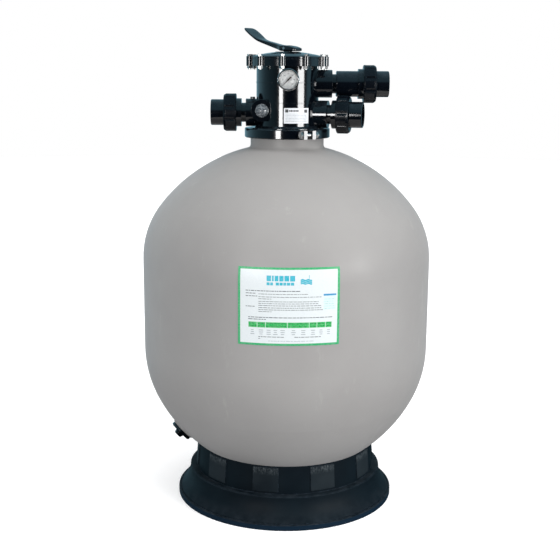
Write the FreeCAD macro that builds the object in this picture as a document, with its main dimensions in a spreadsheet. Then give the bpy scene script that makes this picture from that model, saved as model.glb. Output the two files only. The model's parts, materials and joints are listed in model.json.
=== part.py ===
import FreeCAD, Part
import math
import os
import re
import Sketcher

# Sand filter: a moulded tank on a black stand, with a six-way selector valve clamped to
# its neck. Z is up, the origin is at the middle of the stand's underside, the gauge and
# the tank label face -Y, the waste port points along -X, the pump and return ports along +X.

Vector = FreeCAD.Vector
Rotation = FreeCAD.Rotation
Placement = FreeCAD.Placement

DIMENSIONS = {
    # tank: a straight wall between two dished ends, each a knuckle arc and a crown arc
    "tank_radius": 313.5,
    "tank_wall": 6,
    "low_tangent": 345,
    "low_knuckle": 245,
    "low_crown": 322,
    "top_tangent": 541,
    "top_knuckle": 186,
    "top_crown": 348,
    "neck_radius": 79,
    "neck_bore": 71,
    "neck_fillet": 8,
    "neck_lip_radius": 86,
    "neck_lip_bottom": 804.5,
    "neck_top": 812,
    "neck_seal_radius": 75.2,
    # tank label
    "label_bottom": 420,
    "label_top": 574,
    "label_angle": 36.6,
    "label_azimuth": 270.8,
    "label_thickness": 0.45,
    # stand
    "foot_radius": 242,
    "foot_height": 11,
    "skirt_low_radius": 236,
    "skirt_low": 13.5,
    "skirt_top_radius": 215,
    "skirt_top": 64,
    "skirt_curve": 70,
    "ring_low_radius": 200,
    "ring_top_radius": 195.5,
    "seat_inner": 184,
    "stand_wall": 5,
    "pad_proud": 2.2,
    "pad_low": 69,
    "pad_top": 122.5,
    "pad_angle": 16,
    "pad_count": 10,
    "pad_azimuth": 6,
    # drain, along a normal of the lower crown
    "drain_slope": 42,
    "drain_azimuth": 199.4,
    "drain_boss_radius": 27,
    "drain_boss_proud": 1,
    "drain_boss_depth": 11,
    "drain_hole": 12.3,
    "drain_spigot": 12,
    "drain_flange_radius": 25,
    "drain_flange": 6,
    "drain_bore": 7.5,
    "drain_plug_radius": 7.2,
    "drain_head_radius": 10.5,
    "drain_head": 7,
    "seal_thickness": 1.5,
    # collector inside the tank
    "pipe_radius": 25,
    "pipe_bore": 22.4,
    "pipe_low": 150,
    "pipe_top": 830,
    "hub_radius": 42,
    "hub_low": 112,
    "hub_top": 162,
    "lateral_height": 134,
    "lateral_radius": 12,
    "lateral_bore": 9.5,
    "lateral_spigot": 9,
    "lateral_start": 54,
    "lateral_end": 178,
    "lateral_count": 8,
    "air_tube_radius": 4,
    "air_tube_offset": 34,
    "air_tube_top": 742,
    "diffuser_radius": 64,
    "diffuser_low": 748,
    # neck clamp
    "clamp_radius": 91.6,
    "clamp_low": 802,
    "clamp_top": 822,
    "clamp_azimuth": 296,
    "clamp_gap": 12,
    "clamp_lug": 8,
    "clamp_reach": 107,
    "clamp_bolt_radius": 4,
    # valve body
    "body_radius": 66.5,
    "body_wall": 5.5,
    "body_floor": 822,
    "deck_low": 873,
    "deck_top": 879,
    "low_seam": 875.5,
    "high_seam": 918,
    "seam_proud": 1.1,
    "seam_width": 1.6,
    "flange_radius": 80,
    "flange_low": 952,
    "flange_top": 966,
    "bolt_circle": 81.5,
    "bolt_count": 10,
    "bolt_azimuth": 261.2,
    "boss_radius": 7.5,
    "bolt_radius": 3,
    "bolt_hole": 3.3,
    "low_port": 851.5,
    "waste_port": 854,
    "high_port": 915.5,
    "waste_azimuth": 180,
    "return_azimuth": -12,
    "pump_azimuth": 0,
    "port_radius": 29.2,
    "port_bore": 20.4,
    "low_port_reach": 89,
    "high_port_reach": 95,
    # lid
    "lid_rim": 972,
    "lid_shoulder": 977.3,
    "lid_shoulder_radius": 53,
    "lid_top": 982,
    "lid_bore": 9.08,
    # rotor, stem and spring
    "gasket_thickness": 3,
    "rotor_radius": 57,
    "rotor_thickness": 12,
    "stem_radius": 9,
    "stem_top": 994,
    "stem_flat": 12,
    "spring_radius": 14.5,
    "spring_wire": 1.6,
    "spring_turns": 6,
    "washer_top": 970,
    "washer_thickness": 1.6,
    # lever
    "pin_height": 989,
    "pin_radius": 3,
    "pin_hole": 3.06,
    "lever_azimuth": 140,
    "lever_hub_width": 30,
    "lever_arm_width": 20,
    "grip_width": 39,
    "grip_start": 78,
    "grip_corner": 15,
    "lever_length": 114,
    "lever_tail": 30,
    # unions: end piece, nut and pipe tail
    "union_flange_radius": 29.8,
    "pump_flange_radius": 31.5,
    "union_flange_start": 9.5,
    "union_flange_end": 20.2,
    "union_spigot": 20.35,
    "union_thread": 33.5,
    "union_face": 39,
    "union_bore": 18,
    "nut_radius": 40,
    "nut_start": 20.5,
    "nut_end": 47.5,
    "nut_clearance": 0.3,
    "tail_radius": 27.4,
    "tail_end": 75,
    "socket_radius": 24.2,
    "socket_start": 46,
    "extension_radius": 27.1,
    "extension_start": 103.6,
    "extension_end": 150.5,
    # sight glass
    "sight_offset": 54,
    "sight_height": 860,
    "sight_boss_radius": 23,
    "sight_boss_reach": 56,
    "sight_bore": 11,
    "glass_radius": 14,
    # pressure gauge
    "gauge_offset": 1,
    "gauge_height": 924.5,
    "gauge_boss_radius": 10,
    "gauge_boss_reach": 73,
    "gauge_radius": 21.6,
    "gauge_back": 77.5,
    "gauge_front": 101,
    "gauge_wall": 1.6,
    "dial_radius": 19.6,
    # plate on the valve body
    "plate_bottom": 834,
    "plate_top": 866,
    "plate_angle": 47.6,
    "plate_azimuth": 287.2,
}

doc = FreeCAD.newDocument("sand_filter")
sheet = doc.addObject("Spreadsheet::Sheet", "dims")
for row, (alias, value) in enumerate(DIMENSIONS.items(), start=1):
    sheet.set(f"A{row}", alias)
    sheet.set(f"B{row}", str(value))
    sheet.setAlias(f"B{row}", alias)
doc.recompute()

subparts = []


# ---------------------------------------------------------------- helpers

def bound(expression):
    """Expression with every dimension's name pointing at the spreadsheet."""
    def refer(match):
        word = match.group(0)
        return f"dims.{word}" if word in DIMENSIONS else word
    return re.sub(r"[a-z][a-z_0-9]*", refer, str(expression))


def size(expression):
    """Present value of an expression in the spreadsheet's dimensions."""
    return float(sheet.evalExpression(bound(expression)))


def bind(target, **properties):
    for name, expression in properties.items():
        target.setExpression(name.replace("__", "."), bound(expression))


def keep(part, label, placement=None):
    """Name a finished sub-part, place it and list it for writing."""
    part.Label = label
    if placement is not None:
        part.Placement = placement
    subparts.append(part)
    return part


def spin(azimuth):
    return Placement(Vector(), Rotation(Vector(0, 0, 1), size(azimuth)))


def facing(point, direction):
    """Placement whose own Z runs along direction from point."""
    return Placement(point, Rotation(Vector(0, 0, 1), direction))


def origin_feature(body, role):
    return next(item for item in body.Origin.OriginFeatures if item.Role == role)


def plane_sketch(body, name, plane="XZ_Plane", lift=0, turn=0, swing=0):
    """Sketch on an origin plane: swung about its upright, lifted off the plane, then turned."""
    sketch = body.newObject("Sketcher::SketchObject", name)
    sketch.AttachmentSupport = [(origin_feature(body, plane), "")]
    sketch.MapMode = "FlatFace"
    swung = Placement(Vector(), Rotation(Vector(0, 1, 0), size(swing)))
    lifted = Placement(Vector(0, 0, size(lift)), Rotation(Vector(0, 0, 1), size(turn)))
    sketch.AttachmentOffset = swung.multiply(lifted)
    return sketch


def arc_centre(start, end, radius, turn):
    """Centre of the short arc from start to end; turn is 1 to the left, -1 to the right."""
    chord = end - start
    rise = math.sqrt(max(radius ** 2 - (chord.Length / 2) ** 2, 0))
    left = Vector(-chord.y, chord.x, 0).normalize()
    return (start + end) * 0.5 + left * (rise * turn)


def draw(sketch, outline):
    """Closed outline of (x, y) points; (x, y, radius, turn) starts an arc to the next point."""
    spots = [Vector(size(point[0]), size(point[1]), 0) for point in outline]
    first = sketch.GeometryCount
    starts = []
    ends = []
    for index, point in enumerate(outline):
        here = spots[index]
        there = spots[(index + 1) % len(spots)]
        if len(point) == 2:
            sketch.addGeometry(Part.LineSegment(here, there), False)
            starts.append(1)
            ends.append(2)
            continue
        radius = size(point[2])
        centre = arc_centre(here, there, radius, point[3])
        low, high = (here, there) if point[3] > 0 else (there, here)
        angles = [math.atan2(spot.y - centre.y, spot.x - centre.x) for spot in (low, high)]
        circle = Part.Circle(centre, Vector(0, 0, 1), radius)
        sketch.addGeometry(Part.ArcOfCircle(circle, *angles), False)
        starts.append(1 if point[3] > 0 else 2)
        ends.append(2 if point[3] > 0 else 1)
    for index, point in enumerate(outline):
        edge = first + index
        after = (index + 1) % len(outline)
        joint = Sketcher.Constraint("Coincident", edge, ends[index], first + after, starts[after])
        sketch.addConstraint(joint)
        for kind, axis in (("DistanceX", 0), ("DistanceY", 1)):
            number = Sketcher.Constraint(kind, -1, 1, edge, starts[index], spots[index][axis])
            constrain(sketch, number, point[axis])
        if len(point) > 2:
            constrain(sketch, Sketcher.Constraint("Radius", edge, size(point[2])), point[2])


def constrain(sketch, constraint, expression):
    number = sketch.addConstraint(constraint)
    if isinstance(expression, str):
        sketch.setExpression(f"Constraints[{number}]", bound(expression))


def draw_circle(sketch, x, y, radius):
    centre = Vector(size(x), size(y), 0)
    edge = sketch.addGeometry(Part.Circle(centre, Vector(0, 0, 1), size(radius)), False)
    constrain(sketch, Sketcher.Constraint("Radius", edge, size(radius)), radius)
    constrain(sketch, Sketcher.Constraint("DistanceX", -1, 1, edge, 3, centre.x), x)
    constrain(sketch, Sketcher.Constraint("DistanceY", -1, 1, edge, 3, centre.y), y)


def cap_radius(reach, rise):
    """Radius of a cap that rises over a reach and is level at the axis."""
    return f"(({reach})^2 + ({rise})^2) / (2 * ({rise}))"


def box_outline(x_low, y_low, x_high, y_high):
    return [(x_low, y_low), (x_high, y_low), (x_high, y_high), (x_low, y_high)]


def new_body(name):
    return doc.addObject("PartDesign::Body", name)


def revolve(body, outline, kind="Revolution", angle=None):
    """Turn an outline drawn in (radius, height) about the body's own Z."""
    sketch = plane_sketch(body, f"{body.Name}_section")
    draw(sketch, outline)
    feature = body.newObject(f"PartDesign::{kind}", f"{body.Name}_turned")
    feature.Profile = sketch
    feature.ReferenceAxis = (sketch, ["V_Axis"])
    feature.Angle = 360
    if angle is not None:
        feature.Midplane = True
        bind(feature, Angle=angle)
    return feature


def extrude(body, sketch, length, kind="Pad", midplane=False, reverse=False):
    feature = body.newObject(f"PartDesign::{kind}", f"{body.Name}_{kind.lower()}")
    feature.Profile = sketch
    feature.Midplane = midplane
    feature.Reversed = reverse
    bind(feature, Length=length)
    return feature


def polar(body, feature, count):
    """Repeat a feature in a full circle about the body's own Z."""
    pattern = body.newObject("PartDesign::PolarPattern", f"{body.Name}_around")
    pattern.Originals = [feature]
    pattern.Axis = (origin_feature(body, "Z_Axis"), [""])
    pattern.Angle = 360
    bind(pattern, Occurrences=count)
    body.Tip = pattern
    return pattern


def turned(label, outline, placement=None):
    body = new_body(label)
    revolve(body, outline)
    return keep(body, label, placement)


def ring(label, radius, wire, placement):
    """O-ring of a mean radius and a wire radius."""
    torus = doc.addObject("Part::Torus", label)
    bind(torus, Radius1=radius, Radius2=wire)
    return keep(torus, label, placement)


def cylinder(name, radius, length, placement):
    tool = doc.addObject("Part::Cylinder", name)
    bind(tool, Radius=radius, Height=length)
    tool.Placement = placement
    return tool


def prism(name, sides, radius, length, placement):
    tool = doc.addObject("Part::Prism", name)
    tool.Polygon = sides
    bind(tool, Circumradius=radius, Height=length)
    tool.Placement = placement
    return tool


def block(name, corner, lengths, placement=None):
    tool = doc.addObject("Part::Box", name)
    bind(tool, Length=lengths[0], Width=lengths[1], Height=lengths[2])
    shift = Placement(Vector(*[size(value) for value in corner]), Rotation())
    tool.Placement = placement.multiply(shift) if placement else shift
    return tool


def cut(name, base, tool):
    result = doc.addObject("Part::Cut", name)
    result.Base = base
    result.Tool = tool
    return result


def fuse(name, *pieces):
    result = doc.addObject("Part::MultiFuse", name)
    result.Shapes = list(pieces)
    return result


def scatter(label, source, placements):
    """One sub-part of separate copies of a solid, such as a set of bolts."""
    doc.recompute()
    group = doc.addObject("Part::Feature", label)
    copies = []
    for placement in placements:
        copy = source.Shape.copy()
        copy.Placement = placement.multiply(copy.Placement)
        copies.append(copy)
    group.Shape = Part.makeCompound(copies)
    return keep(group, label)


# ---------------------------------------------------------------- tank

LOW_RISE = "sqrt((low_crown - low_knuckle)^2 - (tank_radius - low_knuckle)^2)"
TOP_DROP = "sqrt((top_crown - top_knuckle)^2 - (tank_radius - top_knuckle)^2)"
LOW_CENTRE = f"(low_tangent + {LOW_RISE})"
TOP_CENTRE = f"(top_tangent - {TOP_DROP})"
NECK_RISE = "sqrt((top_crown + neck_fillet)^2 - (neck_radius + neck_fillet)^2)"


def low_join(inset):
    """Where the lower knuckle meets the lower crown, inset from the outer face."""
    share = f"(low_knuckle - {inset}) / (low_crown - low_knuckle)"
    return (f"(tank_radius - low_knuckle) * (1 + {share})", f"low_tangent - {LOW_RISE} * {share}")


def top_join(inset):
    share = f"(top_knuckle - {inset}) / (top_crown - top_knuckle)"
    return (f"(tank_radius - top_knuckle) * (1 + {share})", f"top_tangent + {TOP_DROP} * {share}")


def low_crown_height(radius):
    """Height of the lower crown's outer face at a radius."""
    return f"{LOW_CENTRE} - sqrt(low_crown^2 - ({radius})^2)"


def drain_placement():
    slope = math.radians(size("drain_slope"))
    azimuth = math.radians(size("drain_azimuth"))
    level = math.cos(slope)
    outward = Vector(level * math.cos(azimuth), level * math.sin(azimuth), -math.sin(slope))
    centre = Vector(0, 0, size(LOW_CENTRE))
    return facing(centre + outward * size("low_crown"), outward)


def along(placement, distance):
    """The same placement moved along its own Z."""
    return placement.multiply(Placement(Vector(0, 0, size(distance)), Rotation()))


def make_tank():
    wall = "tank_wall"
    crown_share = "top_crown / (top_crown + neck_fillet)"
    bore_top = f"{TOP_CENTRE} + sqrt((top_crown - {wall})^2 - neck_bore^2)"
    body = new_body("tank_wall_form")
    revolve(body, [
        (0, f"{LOW_CENTRE} - low_crown", "low_crown", 1),
        (*low_join("0"), "low_knuckle", 1),
        ("tank_radius", "low_tangent"),
        ("tank_radius", "top_tangent", "top_knuckle", 1),
        (*top_join("0"), "top_crown", 1),
        (f"(neck_radius + neck_fillet) * {crown_share}",
         f"{TOP_CENTRE} + {NECK_RISE} * {crown_share}", "neck_fillet", -1),
        ("neck_radius", f"{TOP_CENTRE} + {NECK_RISE}"),
        ("neck_radius", "neck_lip_bottom"),
        ("neck_lip_radius", "neck_lip_bottom"),
        ("neck_lip_radius", "neck_top"),
        ("neck_bore", "neck_top"),
        ("neck_bore", bore_top, f"top_crown - {wall}", -1),
        (*top_join(wall), f"top_knuckle - {wall}", -1),
        (f"tank_radius - {wall}", "top_tangent"),
        (f"tank_radius - {wall}", "low_tangent", f"low_knuckle - {wall}", -1),
        (*low_join(wall), f"low_crown - {wall}", -1),
        (0, f"{LOW_CENTRE} - low_crown + {wall}"),
    ])
    axis = drain_placement()
    boss = cylinder("drain_boss", "drain_boss_radius", "drain_boss_depth + drain_boss_proud",
                    along(axis, "-drain_boss_depth"))
    hole = cylinder("drain_opening", "drain_hole", "4 * drain_boss_depth",
                    along(axis, "-2 * drain_boss_depth"))
    shell = cut("tank_shell", fuse("tank_with_boss", body, boss), hole)
    keep(shell, "tank_shell")


def make_tank_label():
    body = new_body("tank_label")
    knuckle_reach = "(label_top - top_tangent)"
    air = 0.05
    outer = f"(top_knuckle + {air} + label_thickness)"
    inner = f"(top_knuckle + {air})"
    centre = "tank_radius - top_knuckle"
    revolve(body, [
        (f"tank_radius + {air}", "label_bottom"),
        (f"tank_radius + {air} + label_thickness", "label_bottom"),
        (f"tank_radius + {air} + label_thickness", "top_tangent", outer, 1),
        (f"{centre} + sqrt({outer}^2 - {knuckle_reach}^2)", "label_top"),
        (f"{centre} + sqrt({inner}^2 - {knuckle_reach}^2)", "label_top", inner, -1),
        (f"tank_radius + {air}", "top_tangent"),
    ], angle="label_angle")
    keep(body, "tank_label", spin("label_azimuth"))


# ---------------------------------------------------------------- stand

def make_base():
    """Thin-walled stand: raised foot, flared skirt, ledge and an upper ring with pads."""
    body = new_body("base")
    ring_inner = "(ring_low_radius - stand_wall)"
    seat_wall = "seat_inner + 7"
    revolve(body, [
        ("foot_radius - stand_wall", 0),
        ("foot_radius", 0),
        ("foot_radius", "foot_height"),
        ("foot_radius - 3", "foot_height + 1.5"),
        ("skirt_low_radius", "foot_height + 0.5"),
        ("skirt_low_radius", "skirt_low", "skirt_curve", -1),
        ("skirt_top_radius", "skirt_top - 2"),
        ("skirt_top_radius - 2", "skirt_top"),
        ("ring_low_radius", "skirt_top"),
        ("ring_top_radius", low_crown_height("ring_top_radius"), "low_crown", -1),
        ("seat_inner", low_crown_height("seat_inner")),
        ("seat_inner", "pad_top - 9"),
        (seat_wall, "pad_top - 15"),
        (ring_inner, "skirt_top"),
        (ring_inner, "skirt_top - stand_wall"),
        ("skirt_top_radius - stand_wall", "skirt_top - stand_wall", "skirt_curve + stand_wall", 1),
        ("skirt_low_radius - stand_wall", "skirt_low"),
        ("foot_radius - stand_wall", "foot_height - 3"),
    ])
    gusset = plane_sketch(body, "gusset_section")
    draw(gusset, [
        (f"{ring_inner} + 1", "skirt_top - 3"),
        ("foot_radius - stand_wall - 20", "3"),
        ("foot_radius - stand_wall + 2", "3"),
        ("foot_radius - stand_wall + 2", "foot_height - 3"),
        ("skirt_low_radius - stand_wall + 2", "skirt_low", "skirt_curve + 3", -1),
        ("skirt_top_radius - 3", "skirt_top - 3"),
    ])
    polar(body, extrude(body, gusset, "stand_wall", midplane=True), "pad_count")
    slope = "(ring_low_radius - ring_top_radius) / (pad_top - skirt_top)"
    pad_face = f"ring_low_radius + pad_proud - {slope} * "
    pad = revolve(body, [
        ("ring_top_radius - 2", "pad_low"),
        (f"{pad_face} (pad_low - skirt_top)", "pad_low"),
        (f"{pad_face} (pad_top - 2 - skirt_top)", "pad_top - 2"),
        ("ring_top_radius - 2", "pad_top"),
    ], angle="pad_angle")
    polar(body, pad, "pad_count")
    keep(body, "base", spin("pad_azimuth"))


# ---------------------------------------------------------------- drain

def make_drain():
    axis = drain_placement()
    face = "drain_boss_proud"
    flange_low = f"{face} + seal_thickness"
    flange_top = f"{face} + seal_thickness + drain_flange"
    turned("drain_gasket", box_outline("drain_hole", face, "drain_flange_radius - 1.5", flange_low),
           axis)
    turned("drain_body", [
        ("drain_bore", "-30"),
        ("drain_spigot", "-30"),
        ("drain_spigot", flange_low),
        ("drain_flange_radius", flange_low),
        ("drain_flange_radius", f"{flange_top} - 1.5"),
        ("drain_flange_radius - 1.5", flange_top),
        ("drain_bore", flange_top),
    ], axis)
    nut = prism("drain_nut_form", 6, "21", "8", along(axis, "-drain_boss_depth - 8"))
    thread = cylinder("drain_nut_thread", "drain_spigot", "12", along(axis, "-drain_boss_depth - 10"))
    keep(cut("drain_locknut", nut, thread), "drain_locknut")
    turned("drain_plug_seal",
           box_outline("drain_bore", flange_top, "drain_head_radius - 1.5",
                       f"{flange_top} + seal_thickness"), axis)
    head_low = f"{flange_top} + seal_thickness"
    plug = new_body("drain_plug_form")
    revolve(plug, [
        (0, "-6"),
        ("drain_plug_radius", "-6"),
        ("drain_plug_radius", head_low),
        ("drain_head_radius", head_low),
        ("drain_head_radius - 1.8", f"{head_low} + drain_head - 1"),
        ("drain_head_radius - 2.8", f"{head_low} + drain_head"),
        (0, f"{head_low} + drain_head"),
    ])
    plug.Placement = axis
    socket = prism("drain_plug_socket", 6, "5", "8", along(axis, f"{head_low} + 3"))
    keep(cut("drain_plug", plug, socket), "drain_plug")
    make_strainer(axis)


def make_strainer(axis):
    """Slotted sleeve pushed over the inner end of the drain's spigot."""
    body = new_body("drain_strainer")
    revolve(body, [
        (0, "-72"),
        ("drain_spigot + 2.5", "-72"),
        ("drain_spigot + 2.5", "-21"),
        ("drain_spigot", "-21"),
        ("drain_spigot", "-69.5"),
        (0, "-69.5"),
    ])
    slot = plane_sketch(body, "strainer_slot")
    draw(slot, box_outline("-1", "-64", "1", "-38"))
    polar(body, extrude(body, slot, "drain_spigot * 2", kind="Pocket"), 8)
    keep(body, "drain_strainer", axis)


# ---------------------------------------------------------------- collector

def make_collector():
    turned("standpipe", box_outline("pipe_bore", "pipe_low", "pipe_radius", "pipe_top"))
    make_lateral_hub()
    for number in range(int(size("lateral_count"))):
        make_lateral(number)
    air_tube = box_outline("air_tube_radius - 1.4", "hub_top", "air_tube_radius", "air_tube_top")
    turned("air_tube", air_tube, Placement(Vector(0, size("air_tube_offset"), 0), Rotation()))
    make_diffuser()


def make_lateral_hub():
    body = new_body("lateral_hub")
    revolve(body, box_outline(0, "hub_low", "hub_radius", "hub_top"))
    socket = plane_sketch(body, "socket_section", plane="YZ_Plane")
    draw_circle(socket, 0, "lateral_height", "lateral_radius + 2")
    polar(body, extrude(body, socket, "lateral_start"), "lateral_count")
    revolve(body, [
        (0, "hub_low + 6"),
        ("hub_radius - 6", "hub_low + 6"),
        ("hub_radius - 6", "pipe_low - 4"),
        ("pipe_bore", "pipe_low"),
        ("pipe_radius", "pipe_low"),
        ("pipe_radius", "hub_top"),
        (0, "hub_top"),
    ], kind="Groove")
    hole = plane_sketch(body, "lateral_hole", plane="YZ_Plane")
    draw_circle(hole, 0, "lateral_height", "lateral_spigot")
    polar(body, extrude(body, hole, "lateral_start + 5", kind="Pocket", reverse=True),
          "lateral_count")
    keep(body, "lateral_hub")


def make_lateral(number):
    """One slotted arm of the collector, screwed into the hub's socket."""
    label = f"lateral_{number + 1}"
    body = new_body(label)
    revolve(body, [
        ("lateral_spigot - 2", "hub_radius - 4"),
        ("lateral_spigot", "hub_radius - 4"),
        ("lateral_spigot", "lateral_start"),
        ("lateral_radius", "lateral_start"),
        ("lateral_radius", "lateral_end - 3"),
        ("lateral_radius - 3", "lateral_end"),
        (0, "lateral_end"),
        (0, "lateral_end - 4"),
        ("lateral_bore", "lateral_end - 6"),
        ("lateral_bore", "lateral_start + 6"),
        ("lateral_spigot - 2", "lateral_start + 2"),
    ])
    slot = plane_sketch(body, f"{label}_slot")
    draw(slot, box_outline("-7", "lateral_start + 12", "7", "lateral_start + 13"))
    pocket = extrude(body, slot, "lateral_radius * 2 + 2", kind="Pocket", midplane=True)
    row = body.newObject("PartDesign::LinearPattern", f"{label}_slots")
    row.Originals = [pocket]
    row.Direction = (origin_feature(body, "Z_Axis"), [""])
    row.Length = 96
    row.Occurrences = 13
    body.Tip = row
    azimuth = math.tau * number / size("lateral_count")
    outward = Vector(math.cos(azimuth), math.sin(azimuth), 0)
    keep(body, label, facing(Vector(0, 0, size("lateral_height")), outward))


def make_diffuser():
    """Slotted basket in the neck that spreads the water over the sand."""
    body = new_body("top_diffuser")
    floor = "diffuser_low + 4"
    revolve(body, [
        ("pipe_radius + 0.4", "diffuser_low"),
        ("diffuser_radius", "diffuser_low"),
        ("diffuser_radius", "neck_top"),
        ("diffuser_radius - 3", "neck_top"),
        ("diffuser_radius - 3", floor),
        ("pipe_radius + 0.4", floor),
    ])
    slot = plane_sketch(body, "diffuser_slot")
    draw(slot, box_outline("-2", "diffuser_low + 8", "2", "neck_lip_bottom - 20"))
    polar(body, extrude(body, slot, "diffuser_radius + 2", kind="Pocket"), 18)
    keep(body, "top_diffuser")


# ---------------------------------------------------------------- neck clamp

def make_clamp():
    seal = Placement(Vector(0, 0, size("neck_top + 1.27")), Rotation())
    ring("neck_oring", "neck_seal_radius", "1.25", seal)
    left = size("clamp_azimuth") - 90
    make_clamp_half("clamp_half_left", left)
    make_clamp_half("clamp_half_right", left + 180)
    middle = "(clamp_low + clamp_top) / 2"
    lug_face = "clamp_gap / 2 + clamp_lug"
    bolt_radius = "(clamp_radius + clamp_reach) / 2"
    head = prism("clamp_bolt_head", 6, "7.5", "5.3", facing(Vector(0, 0, -5.3), Vector(0, 0, 1)))
    shank = cylinder("clamp_bolt_shank", "clamp_bolt_radius", f"2 * ({lug_face}) + 9", Placement())
    bolt = fuse("clamp_bolt", head, shank)
    nut_form = prism("clamp_nut_form", 6, "7.5", "6.5", Placement())
    nut_hole = cylinder("clamp_nut_hole", "clamp_bolt_radius", "6.5", Placement())
    nut = cut("clamp_nut", nut_form, nut_hole)
    starts = []
    ends = []
    for azimuth in (size("clamp_azimuth"), size("clamp_azimuth") + 180):
        angle = math.radians(azimuth)
        outward = Vector(math.cos(angle), math.sin(angle), 0)
        across = Vector(-math.sin(angle), math.cos(angle), 0)
        centre = outward * size(bolt_radius) + Vector(0, 0, size(middle))
        starts.append(facing(centre - across * size(lug_face), across))
        ends.append(facing(centre + across * size(lug_face), across))
    scatter("clamp_bolts", bolt, starts)
    scatter("clamp_nuts", nut, ends)


def make_clamp_half(label, azimuth):
    """Half ring of channel section over both neck flanges, with a lug at each end."""
    body = new_body(f"{label}_ring")
    lips = "neck_radius + 0.8"
    groove = "neck_lip_radius + 0.3"
    revolve(body, [
        (lips, "clamp_low"),
        ("clamp_radius - 1.5", "clamp_low"),
        ("clamp_radius", "clamp_low + 1.5"),
        ("clamp_radius", "clamp_top - 1.5"),
        ("clamp_radius - 1.5", "clamp_top"),
        (lips, "clamp_top"),
        (lips, "neck_top + 7.7"),
        (groove, "neck_top + 7.7"),
        (groove, "neck_lip_bottom - 0.2"),
        (lips, "neck_lip_bottom - 0.2"),
    ], angle="180 deg - 2 * asin(clamp_gap / 2 / clamp_radius)")
    lug_sizes = ("clamp_lug", "clamp_reach - clamp_radius + 3", "clamp_top - clamp_low - 2")
    reach = "clamp_radius - 3"
    near = block(f"{label}_near", ("clamp_gap / 2", reach, "clamp_low + 1"), lug_sizes)
    far = block(f"{label}_far", ("clamp_gap / 2", "-clamp_reach", "clamp_low + 1"), lug_sizes)
    holes = []
    for side in (-1, 1):
        centre = Vector(0, side * size("(clamp_radius + clamp_reach) / 2"),
                        size("(clamp_low + clamp_top) / 2"))
        holes.append(cylinder(f"{label}_hole", "clamp_bolt_radius + 0.2", "30",
                              facing(centre, Vector(1, 0, 0))))
    half = cut(label, fuse(f"{label}_form", body, near, far), fuse(f"{label}_holes", *holes))
    keep(half, label, spin(azimuth))


# ---------------------------------------------------------------- valve body

INNER = "(body_radius - body_wall)"
TUBE = "(pipe_radius + 5)"


def seam(height):
    """Thin raised ring round the body."""
    proud = "body_radius + seam_proud"
    return [
        ("body_radius", f"{height} - seam_width / 2"),
        (proud, f"{height} - seam_width / 2"),
        (proud, f"{height} + seam_width / 2"),
        ("body_radius", f"{height} + seam_width / 2"),
    ]


def window(body, name, lift, depth):
    """Six wedge-shaped openings round the axis, cut down from a height."""
    sketch = plane_sketch(body, name, plane="XY_Plane", lift=lift)
    draw(sketch, [("24", "-6"), ("54", "-19"), ("54", "19"), ("24", "6")])
    polar(body, extrude(body, sketch, depth, kind="Pocket"), "6")


def bolt_bosses(body, name, low, height):
    sketch = plane_sketch(body, name, plane="XY_Plane", lift=low, turn="bolt_azimuth")
    draw_circle(sketch, "bolt_circle", 0, "boss_radius")
    polar(body, extrude(body, sketch, height), "bolt_count")


def bolt_holes(body, name, top, depth):
    sketch = plane_sketch(body, name, plane="XY_Plane", lift=top, turn="bolt_azimuth")
    draw_circle(sketch, "bolt_circle", 0, "bolt_hole")
    polar(body, extrude(body, sketch, depth, kind="Pocket"), "bolt_count")


def round_pad(body, name, plane, x, y, radius, length, lift=0, swing=0):
    sketch = plane_sketch(body, name, plane=plane, lift=lift, swing=swing)
    draw_circle(sketch, x, y, radius)
    return extrude(body, sketch, length)


def round_pocket(body, name, plane, x, y, radius, length, lift=0, swing=0):
    sketch = plane_sketch(body, name, plane=plane, lift=lift, swing=swing)
    draw_circle(sketch, x, y, radius)
    return extrude(body, sketch, length, kind="Pocket")


PORTS = (
    ("waste", "waste_port", "low_port_reach", "waste_azimuth"),
    ("return", "low_port", "low_port_reach", "return_azimuth"),
    ("pump", "high_port", "high_port_reach", "pump_azimuth"),
)


def make_valve_body():
    body = new_body("valve_body")
    revolve(body, [
        (0, "neck_lip_bottom"),
        (TUBE, "neck_lip_bottom"),
        (TUBE, "neck_top"),
        ("neck_lip_radius", "neck_top"),
        ("neck_lip_radius", "neck_top + 7.5"),
        ("neck_radius + 0.5", "neck_top + 7.5"),
        ("neck_radius + 0.5", "body_floor + 1"),
        ("body_radius + 4", "body_floor + 1"),
        ("body_radius", "body_floor + 5"),
        *seam("low_seam"),
        *seam("high_seam"),
        ("body_radius", "flange_low"),
        ("flange_radius", "flange_low"),
        ("flange_radius", "flange_top"),
        (0, "flange_top"),
    ])
    for name, height, reach, azimuth in PORTS:
        round_pad(body, f"{name}_port", "YZ_Plane", 0, height, "port_radius", reach, swing=azimuth)
    round_pad(body, "gauge_boss", "XZ_Plane", "gauge_offset", "gauge_height",
              "gauge_boss_radius", "gauge_boss_reach")
    round_pad(body, "sight_boss", "XZ_Plane", "-sight_offset", "sight_height",
              "sight_boss_radius", "sight_boss_reach")
    round_pad(body, "moulded_knob", "XY_Plane", "-body_radius - 8", 0, "5.2",
              "port_radius + 4", lift="waste_port")
    bolt_bosses(body, "flange_bosses", "flange_low", "flange_top - flange_low")
    hollow_valve_body(body)
    bore_valve_body(body)
    keep(body, "valve_body")


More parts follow.
